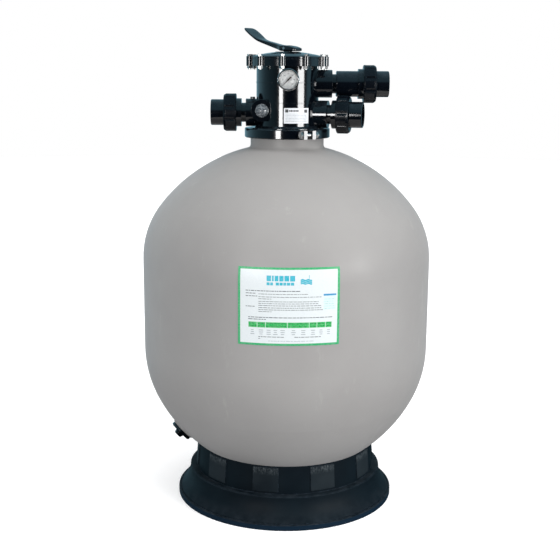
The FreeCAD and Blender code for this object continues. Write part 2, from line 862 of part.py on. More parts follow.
def hollow_valve_body(body):
    revolve(body, box_outline(0, "deck_top", INNER, "flange_top + 1"), kind="Groove")
    revolve(body, box_outline(TUBE, "body_floor + 6", INNER, "deck_low"), kind="Groove")
    revolve(body, box_outline(TUBE, "neck_top - 1", INNER, "body_floor"), kind="Groove")
    revolve(body, [
        (0, "neck_lip_bottom - 1"),
        ("pipe_radius", "neck_lip_bottom - 1"),
        ("pipe_radius", "pipe_top"),
        ("pipe_bore", "pipe_top"),
        ("pipe_bore", "deck_low"),
        (0, "deck_low"),
    ], kind="Groove")
    revolve(body, box_outline("neck_seal_radius - 1.6", "neck_top - 1", "neck_seal_radius + 1.6",
                              "neck_top + 2.55"), kind="Groove")
    wall = plane_sketch(body, "chamber_wall", plane="XY_Plane", lift="body_floor + 5", turn="30")
    draw(wall, box_outline(f"{TUBE} - 1", "-2", f"{INNER} + 1", "2"))
    polar(body, extrude(body, wall, "deck_low - body_floor - 4"), "6")
    window(body, "deck_windows", "deck_top + 1", "deck_top - deck_low + 2")


def bore_valve_body(body):
    bolt_holes(body, "flange_holes", "flange_top + 1", "flange_top - flange_low + 2")
    bore_depth = "body_radius - 15"
    for name, height, reach, azimuth in PORTS:
        round_pocket(body, f"{name}_bore", "YZ_Plane", 0, height, "port_bore", bore_depth,
                     lift=f"{reach} + 1", swing=azimuth)
    round_pocket(body, "gauge_bore", "XZ_Plane", "gauge_offset", "gauge_height", "5", "18",
                 lift="gauge_boss_reach + 1")
    round_pocket(body, "sight_bore", "XZ_Plane", "-sight_offset", "sight_height", "sight_bore",
                 "sight_boss_reach - port_bore + 6", lift="sight_boss_reach + 1")
    round_pocket(body, "sight_seat", "XZ_Plane", "-sight_offset", "sight_height",
                 "glass_radius + 0.1", "6", lift="sight_boss_reach + 1")
    side = plane_sketch(body, "standpipe_window", plane="XY_Plane", lift="low_port + 12", turn="60")
    draw(side, box_outline("pipe_bore - 4", "-10", f"{TUBE} + 3", "10"))
    extrude(body, side, "24", kind="Pocket")
    drop = plane_sketch(body, "neck_window", plane="XY_Plane", lift="body_floor + 7", turn="120")
    draw_circle(drop, "45", 0, "11")
    extrude(body, drop, "8", kind="Pocket")


def make_body_plate():
    body = new_body("body_label")
    revolve(body, box_outline("body_radius + 0.05", "plate_bottom", "body_radius + 0.65",
                              "plate_top"), angle="plate_angle")
    keep(body, "body_label", spin("plate_azimuth"))


# ---------------------------------------------------------------- lid, rotor and lever

def rim_groove(height):
    return [
        ("flange_radius", f"{height} - 0.6"),
        ("flange_radius - 1.2", f"{height} - 0.6"),
        ("flange_radius - 1.2", f"{height} + 0.6"),
        ("flange_radius", f"{height} + 0.6"),
    ]


def make_lid():
    body = new_body("lid")
    skirt = f"({INNER} - 0.3)"
    seal_low = f"{INNER} + 1.4"
    seal_high = f"{INNER} + 4.6"
    revolve(body, [
        ("lid_bore", "washer_top"),
        ("spring_radius + 8", "washer_top"),
        (f"{skirt} - 12", "flange_top + 3"),
        (f"{skirt} - 5", "flange_top + 3"),
        (f"{skirt} - 5", "flange_top - 5"),
        (skirt, "flange_top - 5"),
        (skirt, "flange_top"),
        (seal_low, "flange_top"),
        (seal_low, "flange_top + 2.3"),
        (seal_high, "flange_top + 2.3"),
        (seal_high, "flange_top"),
        ("flange_radius", "flange_top"),
        *rim_groove("flange_top + 1.6"),
        ("flange_radius", "lid_rim - 1"),
        ("flange_radius - 1", "lid_rim"),
        ("flange_radius - 5", "lid_rim", "90", 1),
        ("lid_shoulder_radius", "lid_shoulder", "220", 1),
        ("28", "lid_top - 1"),
        ("26", "lid_top"),
        ("lid_bore", "lid_top"),
        ("lid_bore", "washer_top + 6.5"),
        ("lid_bore + 2.7", "washer_top + 6.5"),
        ("lid_bore + 2.7", "washer_top + 3.5"),
        ("lid_bore", "washer_top + 3.5"),
    ])
    bolt_bosses(body, "lid_bosses", "flange_top", "lid_rim - flange_top")
    bolt_holes(body, "lid_holes", "lid_rim + 1", "lid_rim - flange_top + 2")
    keep(body, "lid")
    lift = Placement(Vector(0, 0, size("flange_top + 1.15")), Rotation())
    ring("lid_oring", f"{INNER} + 3", "1.12", lift)
    lift = Placement(Vector(0, 0, size("washer_top + 5")), Rotation())
    ring("stem_oring", "lid_bore + 1.34", "1.3", lift)


def make_lid_bolts():
    head = prism("lid_bolt_head", 6, "5.8", "4.2", Placement())
    shank = cylinder("lid_bolt_shank", "bolt_radius", "lid_rim - flange_low + 7.5",
                     Placement(Vector(0, 0, -size("lid_rim - flange_low + 7.5")), Rotation()))
    bolt = fuse("lid_bolt", head, shank)
    nut_form = prism("lid_nut_form", 6, "5.8", "5", Placement(Vector(0, 0, -5), Rotation()))
    nut_hole = cylinder("lid_nut_hole", "bolt_radius", "5", Placement(Vector(0, 0, -5), Rotation()))
    nut = cut("lid_nut", nut_form, nut_hole)
    step = 360 / size("bolt_count")
    turns = [size("bolt_azimuth") + step * number for number in range(int(size("bolt_count")))]
    scatter("lid_bolts", bolt, [on_circle(turn, "lid_rim") for turn in turns])
    scatter("lid_nuts", nut, [on_circle(turn, "flange_low") for turn in turns])


def on_circle(azimuth, height):
    reach = Placement(Vector(size("bolt_circle"), 0, size(height)), Rotation())
    return spin(azimuth).multiply(reach)


def make_rotor():
    """Selector disc with one through window, its stem, and what presses it down."""
    gasket = new_body("spider_gasket")
    revolve(gasket, box_outline(6, "deck_top", f"{INNER} - 0.5", "deck_top + gasket_thickness"))
    window(gasket, "gasket_windows", "deck_top + gasket_thickness + 1", "gasket_thickness + 2")
    keep(gasket, "spider_gasket")
    low = "deck_top + gasket_thickness"
    high = f"{low} + rotor_thickness"
    body = new_body("rotor_form")
    revolve(body, [
        (0, low),
        ("rotor_radius", low),
        ("rotor_radius", high),
        ("stem_radius + 2", high),
        ("stem_radius + 2", f"{high} + 6"),
        ("stem_radius", f"{high} + 6"),
        ("stem_radius", "stem_top - 1.5"),
        ("stem_radius - 1.5", "stem_top"),
        (0, "stem_top"),
    ])
    opening = plane_sketch(body, "rotor_window", plane="XY_Plane", lift=f"{high} + 1")
    draw(opening, [("24", "-6"), ("52", "-19"), ("52", "19"), ("24", "6")])
    extrude(body, opening, "rotor_thickness + 2", kind="Pocket")
    half_flat = "stem_flat / 2"
    flat_low = "pin_height - 9"
    flats = [
        block("stem_flat_front", ("-12", half_flat, flat_low), ("24", "8", "20")),
        block("stem_flat_back", ("-12", f"-{half_flat} - 8", flat_low), ("24", "8", "20")),
    ]
    hole = cylinder("stem_pin_hole", "pin_radius", "30", lever_axis("-15"))
    stem = cut("rotor", body, fuse("stem_cuts", *flats, hole))
    keep(stem, "rotor", spin("lever_azimuth"))
    washer_low = "washer_top - washer_thickness"
    turned("thrust_washer",
           box_outline("stem_radius + 0.4", washer_low, "spring_radius + 4.5", "washer_top"))
    make_spring(f"{high} + spring_wire + 0.1", f"{washer_low} - spring_wire - 0.1")


def make_spring(low, high):
    helix = doc.addObject("Part::Helix", "spring_path")
    bind(helix, Radius="spring_radius", Height=f"{high} - ({low})",
         Pitch=f"({high} - ({low})) / spring_turns")
    section = doc.addObject("Part::Circle", "spring_wire_section")
    bind(section, Radius="spring_wire")
    section.Placement = facing(Vector(size("spring_radius"), 0, 0), Vector(0, 1, 0))
    spring = doc.addObject("Part::Sweep", "rotor_spring")
    spring.Sections = [section]
    spring.Spine = (helix, [])
    spring.Solid = True
    spring.Frenet = True
    keep(spring, "rotor_spring", Placement(Vector(0, 0, size(low)), Rotation()))


def lever_axis(start):
    """Placement at the lever's cross pin, its Z along the pin, in the lever's own frame."""
    return facing(Vector(0, size(start), size("pin_height")), Vector(0, 1, 0))


def make_lever():
    side = new_body("lever_side")
    sketch = plane_sketch(side, "lever_side_outline")
    draw(sketch, [
        ("-lever_tail", "-4.5"),
        ("-lever_tail + 3", "-6"),
        ("10", "-6"),
        ("grip_start - 4", "12"),
        ("grip_start + 4", "17"),
        ("lever_length - 3", "38"),
        ("lever_length", "41.5"),
        ("lever_length - 1", "44"),
        ("lever_length - 5", "43.5"),
        ("grip_start", "22"),
        ("grip_start - 18", "16.5"),
        ("12", "6"),
        ("-6", "6.5"),
        ("-lever_tail", "-1"),
    ])
    extrude(side, sketch, "grip_width", midplane=True)
    plan = new_body("lever_plan")
    sketch = plane_sketch(plan, "lever_plan_outline", plane="XY_Plane")
    draw(sketch, [
        ("-lever_tail + 4", "-lever_hub_width / 2"),
        ("13", "-lever_hub_width / 2"),
        ("22", "-lever_arm_width / 2"),
        ("grip_start - 22", "-lever_arm_width / 2"),
        ("grip_start", "-grip_width / 2"),
        ("lever_length - grip_corner", "-grip_width / 2", "grip_corner", 1),
        ("lever_length", "grip_corner - grip_width / 2"),
        ("lever_length", "grip_width / 2 - grip_corner", "grip_corner", 1),
        ("lever_length - grip_corner", "grip_width / 2"),
        ("grip_start", "grip_width / 2"),
        ("grip_start - 22", "lever_arm_width / 2"),
        ("22", "lever_arm_width / 2"),
        ("13", "lever_hub_width / 2"),
        ("-lever_tail + 4", "lever_hub_width / 2", "7", 1),
        ("-lever_tail", "lever_hub_width / 2 - 6"),
        ("-lever_tail", "6 - lever_hub_width / 2", "7", 1),
    ])
    extrude(plan, sketch, "120", midplane=True)
    shape = doc.addObject("Part::Common", "lever_form")
    shape.Base = side
    shape.Tool = plan
    shape.Placement = Placement(Vector(0, 0, size("pin_height")), Rotation())
    slot_half = "(stem_flat / 2 + 0.3)"
    slot = block("lever_slot", ("-12", f"-{slot_half}", "pin_height - 12"),
                 ("24", f"2 * {slot_half}", "24"))
    hole = cylinder("lever_pin_hole", "pin_hole", "40", lever_axis("-20"))
    lever = cut("handle", shape, fuse("lever_cuts", slot, hole))
    keep(lever, "handle", spin("lever_azimuth"))
    pin = cylinder("handle_pin", "pin_radius", "lever_hub_width",
                   spin("lever_azimuth").multiply(lever_axis("-lever_hub_width / 2")))
    keep(pin, "handle_pin")


# ---------------------------------------------------------------- unions

def make_union(name, port, flange_radius):
    """Threaded end piece, loose nut, pipe tail and O-ring; port is where the end screws in."""
    turned(f"{name}_union_end", [
        ("union_bore", "-19"),
        ("union_spigot", "-19"),
        ("union_spigot", "union_flange_start"),
        (flange_radius, "union_flange_start"),
        (flange_radius, "union_flange_end"),
        ("union_thread", "union_flange_end"),
        ("union_thread", "union_face"),
        ("26.4", "union_face"),
        ("26.4", "union_face - 2.5"),
        ("23.2", "union_face - 2.5"),
        ("23.2", "union_face"),
        ("union_bore", "union_face"),
    ], port)
    ring(f"{name}_union_oring", "24.8", "1.2", along(port, "union_face - 1.2"))
    tail_low = "(union_face + 0.2)"
    turned(f"{name}_union_tail", [
        ("union_bore", tail_low),
        ("union_thread - 0.5", tail_low),
        ("union_thread - 0.5", "nut_end - 3.5"),
        ("tail_radius", "nut_end - 3.5"),
        ("tail_radius", "tail_end - 1.2"),
        ("tail_radius - 1.2", "tail_end"),
        ("socket_radius", "tail_end"),
        ("socket_radius", "socket_start"),
        ("union_bore", "socket_start"),
    ], port)
    make_union_nut(f"{name}_union_nut", port)


def make_union_nut(label, port):
    body = new_body(label)
    thread = "union_thread + nut_clearance"
    lip = "nut_end - 3.2"
    revolve(body, [
        (thread, "nut_start"),
        ("nut_radius - 1.2", "nut_start"),
        ("nut_radius", "nut_start + 1.2"),
        ("nut_radius", "nut_end - 5"),
        ("nut_radius - 2.6", "nut_end - 0.8"),
        ("nut_radius - 3.6", "nut_end"),
        ("tail_radius + nut_clearance", "nut_end"),
        ("tail_radius + nut_clearance", lip),
        (thread, lip),
    ])
    flute = plane_sketch(body, f"{label}_flute", plane="XY_Plane", lift="nut_end + 1")
    draw_circle(flute, "nut_radius + 5.2", 0, "7.4")
    polar(body, extrude(body, flute, "nut_end - nut_start - 3", kind="Pocket"), "10")
    keep(body, label, port)


def port_axis(height, azimuth):
    """Placement on the valve's axis whose own Z runs out along a port."""
    angle = math.radians(size(azimuth))
    return facing(Vector(0, 0, size(height)), Vector(math.cos(angle), math.sin(angle), 0))


def make_ports():
    for name, height, reach, azimuth in PORTS:
        axis = port_axis(height, azimuth)
        if name == "pump":
            start = "extension_end - union_flange_start"
            make_union(name, along(axis, start), "pump_flange_radius")
            make_extension(axis)
        else:
            make_union(name, along(axis, reach), "union_flange_radius")


def make_extension(axis):
    """Spacer that carries the pump union clear of the return union's nut."""
    seat = "extension_end - union_flange_start - 19.5"
    turned("pump_extension", [
        ("union_bore", "high_port_reach - 19"),
        ("union_spigot", "high_port_reach - 19"),
        ("union_spigot", "extension_start"),
        ("extension_radius - 1", "extension_start"),
        ("extension_radius", "extension_start + 1"),
        ("extension_radius", "extension_end"),
        ("port_bore", "extension_end"),
        ("port_bore", seat),
        ("union_bore", seat),
    ], axis)


# ---------------------------------------------------------------- sight glass and gauge

def make_sight_glass():
    face = Vector(-size("sight_offset"), -size("sight_boss_reach"), size("sight_height"))
    axis = facing(face, Vector(0, -1, 0))
    turned("sight_glass_seal", box_outline("sight_bore", "-5", "glass_radius", "-4"), axis)
    turned("sight_glass", [
        ("glass_radius - 3.6", "-4"),
        ("glass_radius", "-4"),
        ("glass_radius", 0),
        ("glass_radius - 1.2", "0.6"),
        ("glass_radius - 1.4", "3.4", cap_radius("glass_radius - 1.4", "5.8"), 1),
        (0, "9.2"),
        (0, "6.8", cap_radius("glass_radius - 3.6", "4.2"), -1),
        ("glass_radius - 3.6", "2.6"),
    ], axis)


def make_gauge():
    axis = facing(Vector(size("gauge_offset"), 0, size("gauge_height")), Vector(0, -1, 0))
    spigot = new_body("gauge_spigot")
    revolve(spigot, box_outline("1.5", "gauge_boss_reach - 14", "4.9", "gauge_back + 5"))
    spigot.Placement = axis
    hexagon = prism("gauge_hexagon", 6, "8.5", "gauge_back - gauge_boss_reach",
                    along(axis, "gauge_boss_reach"))
    passage = cylinder("gauge_passage", "1.5", "40", along(axis, "gauge_boss_reach - 20"))
    keep(cut("gauge_stem", fuse("gauge_stem_form", spigot, hexagon), passage), "gauge_stem")
    inside = "gauge_radius - gauge_wall"
    turned("gauge_case", [
        ("5", "gauge_back"),
        ("gauge_radius - 1.2", "gauge_back"),
        ("gauge_radius", "gauge_back + 1.2"),
        ("gauge_radius", "gauge_front - 5"),
        ("gauge_radius + 0.9", "gauge_front - 4.2"),
        ("gauge_radius + 0.9", "gauge_front - 0.9"),
        ("gauge_radius", "gauge_front"),
        (f"{inside} - 0.6", "gauge_front"),
        (f"{inside} - 0.6", "gauge_front - 0.8"),
        (inside, "gauge_front - 0.8"),
        (inside, "gauge_back + gauge_wall"),
        ("5", "gauge_back + gauge_wall"),
    ], axis)
    turned("gauge_lens", [
        (0, "gauge_front - 2.4"),
        (inside, "gauge_front - 2.4"),
        (inside, "gauge_front - 0.8"),
        (f"{inside} - 1", "gauge_front - 0.8", cap_radius(f"{inside} - 1", "0.8"), 1),
        (0, "gauge_front"),
    ], axis)
    turned("gauge_dial", box_outline("1.2", "gauge_front - 9", "dial_radius", "gauge_front - 8.4"),
           axis)
    tube = doc.addObject("Part::Torus", "gauge_tube")
    bind(tube, Radius1="gauge_radius - 8", Radius2="gauge_wall", Angle3="270")
    keep(tube, "gauge_tube", along(axis, "gauge_back + 6"))
    make_pointer(axis)


def make_pointer(axis):
    """Pointer at zero, tip to the lower left, with a broad counterweight."""
    blade = new_body("pointer_blade")
    sketch = plane_sketch(blade, "pointer_outline", plane="XY_Plane")
    draw(sketch, [
        ("-8", "-1.6"),
        ("-2", "-0.9"),
        ("dial_radius - 4", "-0.25"),
        ("dial_radius - 3.4", "0"),
        ("dial_radius - 4", "0.25"),
        ("-2", "0.9"),
        ("-8", "1.6"),
    ])
    extrude(blade, sketch, "0.7")
    hub = cylinder("pointer_hub", "2.2", "1.2", Placement())
    arbor = cylinder("pointer_arbor", "0.8", "8", Placement(Vector(0, 0, -7), Rotation()))
    pointer = fuse("gauge_pointer", blade, hub, arbor)
    aim = Placement(Vector(0, 0, size("gauge_front - 6.8")), Rotation(Vector(0, 0, 1), 225))
    keep(pointer, "gauge_pointer", axis.multiply(aim))


# ---------------------------------------------------------------- assembly

def check():
    """Stop before writing if any object failed or any sub-part has no sound shape."""
    doc.recompute()
    for item in doc.Objects:
        if "Invalid" in item.State or "Error" in item.State:
            raise RuntimeError(f"{item.Name} failed: {item.State}")
    for part in subparts:
        if part.Shape.isNull() or not part.Shape.isValid():
            raise RuntimeError(f"{part.Label} has no valid shape")


def write():
    os.makedirs("parts", exist_ok=True)
    for part in subparts:
        part.Shape.exportStep(f"parts/{part.Label}.step")
        solids = len(part.Shape.Solids)
        print(f"{part.Label:22s} {solids:3d} solids {part.Shape.Volume / 1000:10.2f} cm3")


make_tank()
make_tank_label()
make_base()
make_drain()
make_collector()
make_clamp()
make_valve_body()
make_body_plate()
make_lid()
make_lid_bolts()
make_rotor()
make_lever()
make_ports()
make_sight_glass()
make_gauge()
check()
write()
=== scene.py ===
import json
import math
import random

import bmesh
import bpy
from mathutils import Matrix, Vector


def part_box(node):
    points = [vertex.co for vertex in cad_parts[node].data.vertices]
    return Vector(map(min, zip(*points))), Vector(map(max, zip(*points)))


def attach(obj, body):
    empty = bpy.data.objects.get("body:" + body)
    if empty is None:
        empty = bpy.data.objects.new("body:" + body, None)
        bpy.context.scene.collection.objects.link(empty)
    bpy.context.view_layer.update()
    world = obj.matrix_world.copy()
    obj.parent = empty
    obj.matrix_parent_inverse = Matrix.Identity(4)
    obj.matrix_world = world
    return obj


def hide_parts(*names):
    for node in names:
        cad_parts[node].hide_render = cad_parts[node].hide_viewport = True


# Sand filter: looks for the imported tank, stand, clamp and selector valve. Everything is in
# metres in the frame of the CAD model: Z up the tank axis, the gauge and label face -Y.
# Azimuths are in degrees, anticlockwise from +X as seen from above.

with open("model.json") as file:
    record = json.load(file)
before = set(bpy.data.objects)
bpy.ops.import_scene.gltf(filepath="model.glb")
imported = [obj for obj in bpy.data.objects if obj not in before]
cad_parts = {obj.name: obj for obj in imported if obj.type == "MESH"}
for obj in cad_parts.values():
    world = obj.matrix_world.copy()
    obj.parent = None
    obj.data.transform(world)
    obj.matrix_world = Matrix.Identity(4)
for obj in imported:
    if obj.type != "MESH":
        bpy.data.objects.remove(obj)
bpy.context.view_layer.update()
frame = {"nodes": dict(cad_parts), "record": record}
nodes = frame["nodes"]
scene = bpy.context.scene
chance = random.Random(7)

MM = 0.001


def srgb(red, green, blue):
    """Linear colour from display values of 0 to 255."""
    return tuple(((value / 255 + 0.055) / 1.055) ** 2.4 for value in (red, green, blue))


# ---------------------------------------------------------------- camera, light and floor

CAMERA_PLACE = (-0.0133, -2.265, 0.951)
CAMERA_TILT = 78.4
CAMERA_ROLL = 0.4
CAMERA_LENS = 66.857
CAMERA_SENSOR = 36
FAR_CLIP = 100
VALVE_MIDDLE = Vector((0, 0, 0.9))


def make_camera():
    camera = bpy.data.objects.new("camera", bpy.data.cameras.new("camera"))
    camera.data.lens = CAMERA_LENS
    camera.data.sensor_width = CAMERA_SENSOR
    camera.data.clip_end = FAR_CLIP
    tilt = Matrix.Rotation(math.radians(CAMERA_TILT), 4, "X")
    roll = Matrix.Rotation(math.radians(CAMERA_ROLL), 4, "Z")
    camera.matrix_world = Matrix.Translation(CAMERA_PLACE) @ tilt @ roll
    scene.collection.objects.link(camera)
    scene.camera = camera


SOFTBOX_DISTANCE = 2.7
SOFTBOX_HEIGHT = 0.85


def make_softbox(name, bearing, width, tall, power):
    """Area light aimed at the valve; bearing is in degrees from -Y, positive towards +X."""
    light = bpy.data.lights.new(name, "AREA")
    light.shape = "RECTANGLE"
    light.size = width
    light.size_y = tall
    light.energy = power
    lamp = bpy.data.objects.new(name, light)
    angle = math.radians(bearing)
    place = Vector((SOFTBOX_DISTANCE * math.sin(angle), -SOFTBOX_DISTANCE * math.cos(angle),
                    SOFTBOX_HEIGHT))
    aim = (VALVE_MIDDLE - place).to_track_quat("-Z", "Y").to_matrix().to_4x4()
    lamp.matrix_world = Matrix.Translation(place) @ aim
    lamp.visible_camera = False
    scene.collection.objects.link(lamp)


def make_diffuser(name, bearing, elevation, power, spread):
    """Broad far light: a sun disc, with its bearing from -Y and its angle over the horizon."""
    light = bpy.data.lights.new(name, "SUN")
    light.energy = power
    light.angle = math.radians(spread)
    lamp = bpy.data.objects.new(name, light)
    lamp.rotation_euler = (math.radians(90 - elevation), 0, math.radians(bearing))
    lamp.visible_glossy = False
    scene.collection.objects.link(lamp)


# Brightness of the studio round the horizon, by bearing from -Y: dark behind the camera
# between the two softboxes, open and pale elsewhere.
STUDIO_WALLS = (
    (-180, 0.9), (-110, 0.9), (-60, 0.5), (-36, 0.2), (-14, 0.02), (0, 0.02),
    (32, 0.02), (44, 0.06), (70, 0.3), (100, 0.8), (140, 0.95), (180, 0.9),
)
# The same for mirror reflections: dark cloth below and in front, a pale screen on the right.
MIRRORED_WALLS = (
    (-180, 0.45), (-114, 0.45), (-90, 0.27), (-70, 0.18), (-52, 0.13), (-36, 0.05), (-14, 0.003),
    (35, 0.003), (70, 0.01), (78, 0.5), (101, 0.5), (109, 0.06), (130, 0.06), (180, 0.4),
)
# A direction meets only the walls while it rises or falls by less than the first number, and
# only the plain ceiling or ground beyond the second.
BAND_EDGE = (0.2, 0.45)
# Brightness of the ground and the ceiling, and the tint, of the two surrounds.
STUDIO_PLAIN = (0.95, 0.34)
STUDIO_TINT = (0.97, 0.99, 1.02)
MIRRORED_PLAIN = (0.004, 0.27)
MIRRORED_TINT = (0.5, 0.95, 1.17)
WHITE = (1, 1, 1, 1)


def make_dome(tree, walls, plain_light, tint):
    """World colour: walls by bearing round the horizon, plain below and above them."""
    ground, ceiling = plain_light

    def add(kind, operation=None, **numbers):
        node = tree.nodes.new("ShaderNode" + kind)
        if operation:
            node.operation = operation
        for name, value in numbers.items():
            node.inputs[name.replace("_", " ")].default_value = value
        return node

    link = tree.links.new
    split = add("SeparateXYZ")
    link(add("TexCoord").outputs["Generated"], split.inputs[0])
    front = add("Math", "MULTIPLY")
    front.inputs[1].default_value = -1
    link(split.outputs["Y"], front.inputs[0])
    bearing = add("Math", "ARCTAN2")
    link(split.outputs["X"], bearing.inputs[0])
    link(front.outputs[0], bearing.inputs[1])
    position = add("MapRange", From_Min=-math.pi, From_Max=math.pi)
    link(bearing.outputs[0], position.inputs["Value"])
    band = add("ValToRGB")
    ramp = band.color_ramp
    while len(ramp.elements) < len(walls):
        ramp.elements.new(0.5)
    for element, (degrees, light) in zip(ramp.elements, walls):
        element.position = (degrees + 180) / 360
        element.color = (light * tint[0], light * tint[1], light * tint[2], 1)
    link(position.outputs[0], band.inputs["Fac"])
    above = add("MapRange", From_Min=-BAND_EDGE[0], From_Max=BAND_EDGE[0])
    link(split.outputs["Z"], above.inputs["Value"])
    plain = add("MixRGB")
    plain.inputs["Color1"].default_value = (*(ground * value for value in tint), 1)
    plain.inputs["Color2"].default_value = (*(ceiling * value for value in tint), 1)
    link(above.outputs[0], plain.inputs["Fac"])
    slant = add("Math", "ABSOLUTE")
    link(split.outputs["Z"], slant.inputs[0])
    beyond = add("MapRange", From_Min=BAND_EDGE[0], From_Max=BAND_EDGE[1])
    link(slant.outputs[0], beyond.inputs["Value"])
    dome = add("MixRGB")
    link(beyond.outputs[0], dome.inputs["Fac"])
    link(band.outputs["Color"], dome.inputs["Color1"])
    link(plain.outputs[0], dome.inputs["Color2"])
    return dome.outputs[0]


def make_world():
    """Surround that lights with one dome, mirrors another and shows plain white to the camera."""
    world = bpy.data.worlds.new("studio")
    scene.world = world
    world.use_nodes = True
    tree = world.node_tree
    tree.nodes.clear()
    path = tree.nodes.new("ShaderNodeLightPath")
    lit = make_dome(tree, STUDIO_WALLS, STUDIO_PLAIN, STUDIO_TINT)
    mirrored = make_dome(tree, MIRRORED_WALLS, MIRRORED_PLAIN, MIRRORED_TINT)
    colour = lit
    for kind, other in (("Is Glossy Ray", mirrored), ("Is Camera Ray", WHITE)):
        pick = tree.nodes.new("ShaderNodeMixRGB")
        tree.links.new(path.outputs[kind], pick.inputs["Fac"])
        tree.links.new(colour, pick.inputs["Color1"])
        if isinstance(other, tuple):
            pick.inputs["Color2"].default_value = other
        else:
            tree.links.new(other, pick.inputs["Color2"])
        colour = pick.outputs[0]
    background = tree.nodes.new("ShaderNodeBackground")
    tree.links.new(colour, background.inputs["Color"])
    output = tree.nodes.new("ShaderNodeOutputWorld")
    tree.links.new(background.outputs[0], output.inputs["Surface"])


FLOOR_RADIUS = 9


def make_floor():
    """Pale paper floor that glows a little and stays out of reflections and bounced light."""
    bm = bmesh.new()
    bmesh.ops.create_circle(bm, cap_ends=True, segments=96, radius=FLOOR_RADIUS)
    mesh = bpy.data.meshes.new("floor")
    bm.to_mesh(mesh)
    bm.free()
    floor = bpy.data.objects.new("floor", mesh)
    scene.collection.objects.link(floor)
    material = bpy.data.materials.new("floor_paper")
    material.use_nodes = True
    shader = material.node_tree.nodes["Principled BSDF"]
    shader.inputs["Base Color"].default_value = (0.93, 0.93, 0.93, 1)
    shader.inputs["Roughness"].default_value = 0.9
    shader.inputs["Specular IOR Level"].default_value = 0.1
    shader.inputs["Emission Color"].default_value = WHITE
    shader.inputs["Emission Strength"].default_value = 0.3
    mesh.materials.append(material)
    floor.visible_diffuse = False
    floor.visible_glossy = False


make_camera()
make_world()
make_floor()
make_diffuser("overhead", bearing=0, elevation=84, power=2.1, spread=80)
make_diffuser("key", bearing=55, elevation=42, power=1.0, spread=40)
make_softbox("strip_left", bearing=-24, width=0.6, tall=0.7, power=22)
make_softbox("strip_right", bearing=50, width=1.12, tall=0.75, power=34)
scene.view_settings.view_transform = "Standard"


# ---------------------------------------------------------------- materials

BEVEL_SAMPLES = 6


class Shade:
    """A principled material, with short ways to add procedural nodes to it."""

    def __init__(self, name, **constants):
        self.material = bpy.data.materials.new(name)
        self.material.use_nodes = True
        self.tree = self.material.node_tree
        self.shader = self.tree.nodes["Principled BSDF"]
        self.place = self.tree.nodes.new("ShaderNodeTexCoord").outputs["Object"]
        self.normal = None
        for label, value in constants.items():
            self.shader.inputs[label.replace("_", " ")].default_value = value

    def put(self, value, socket):
        """Set a socket to a number or colour, or link it."""
        if isinstance(value, tuple):
            socket.default_value = (*value, 1)
        elif isinstance(value, (int, float)):
            socket.default_value = value
        else:
            self.tree.links.new(value, socket)

    def give(self, value, name):
        """Link a value to an input of the principled shader."""
        self.tree.links.new(value, self.shader.inputs[name])

    def noise(self, scale, detail, roughness=0.5, stretch=None):
        """Noise over the object's own coordinates; the scale is in cells per metre."""
        node = self.tree.nodes.new("ShaderNodeTexNoise")
        node.inputs["Scale"].default_value = scale
        node.inputs["Detail"].default_value = detail
        node.inputs["Roughness"].default_value = roughness
        place = self.place
        if stretch:
            mapping = self.tree.nodes.new("ShaderNodeMapping")
            mapping.inputs["Scale"].default_value = stretch
            self.tree.links.new(place, mapping.inputs["Vector"])
            place = mapping.outputs["Vector"]
        self.tree.links.new(place, node.inputs["Vector"])
        return node.outputs["Fac"]

    def spread(self, value, low, high, to_low=0.0, to_high=1.0):
        """Rescale a value from one range to another, held at the ends."""
        node = self.tree.nodes.new("ShaderNodeMapRange")
        limits = {"From Min": low, "From Max": high, "To Min": to_low, "To Max": to_high}
        for name, number in limits.items():
            node.inputs[name].default_value = number
        self.tree.links.new(value, node.inputs["Value"])
        return node.outputs["Result"]

    def mix(self, factor, first, second):
        node = self.tree.nodes.new("ShaderNodeMixRGB")
        self.put(factor, node.inputs["Fac"])
        self.put(first, node.inputs["Color1"])
        self.put(second, node.inputs["Color2"])
        return node.outputs["Color"]

    def maths(self, operation, first, second=0.0):
        node = self.tree.nodes.new("ShaderNodeMath")
        node.operation = operation
        self.put(first, node.inputs[0])
        self.put(second, node.inputs[1])
        return node.outputs[0]

    def bevelled(self, radius):
        """Surface normal that turns smoothly over the edges."""
        bevel = self.tree.nodes.new("ShaderNodeBevel")
        bevel.samples = BEVEL_SAMPLES
        bevel.inputs["Radius"].default_value = radius
        return bevel.outputs["Normal"]

    def edges(self, radius):
        """0 away from the edges, up to 1 along them, from a bevel of the surface normal."""
        geometry = self.tree.nodes.new("ShaderNodeNewGeometry")
        dot = self.tree.nodes.new("ShaderNodeVectorMath")
        dot.operation = "DOT_PRODUCT"
        self.tree.links.new(self.bevelled(radius), dot.inputs[0])
        self.tree.links.new(geometry.outputs["Normal"], dot.inputs[1])
        return self.spread(dot.outputs["Value"], 0.995, 0.85)

    def round_edges(self, radius):
        """Soften the edges in the shading; the bumps that follow start from this normal."""
        self.normal = self.bevelled(radius)

    def upward(self):
        """0 on steep faces, up to 1 on faces that look straight up."""
        geometry = self.tree.nodes.new("ShaderNodeNewGeometry")
        split = self.tree.nodes.new("ShaderNodeSeparateXYZ")
        self.tree.links.new(geometry.outputs["Normal"], split.inputs[0])
        return self.spread(split.outputs["Z"], 0.4, 1.0)

    def bump(self, height, distance, strength):
        """Add a bump to the shader's normal, on top of the ones before it."""
        node = self.tree.nodes.new("ShaderNodeBump")
        node.inputs["Strength"].default_value = strength
        node.inputs["Distance"].default_value = distance
        self.tree.links.new(height, node.inputs["Height"])
        if self.normal:
            self.tree.links.new(self.normal, node.inputs["Normal"])
        self.normal = node.outputs["Normal"]
        self.give(self.normal, "Normal")


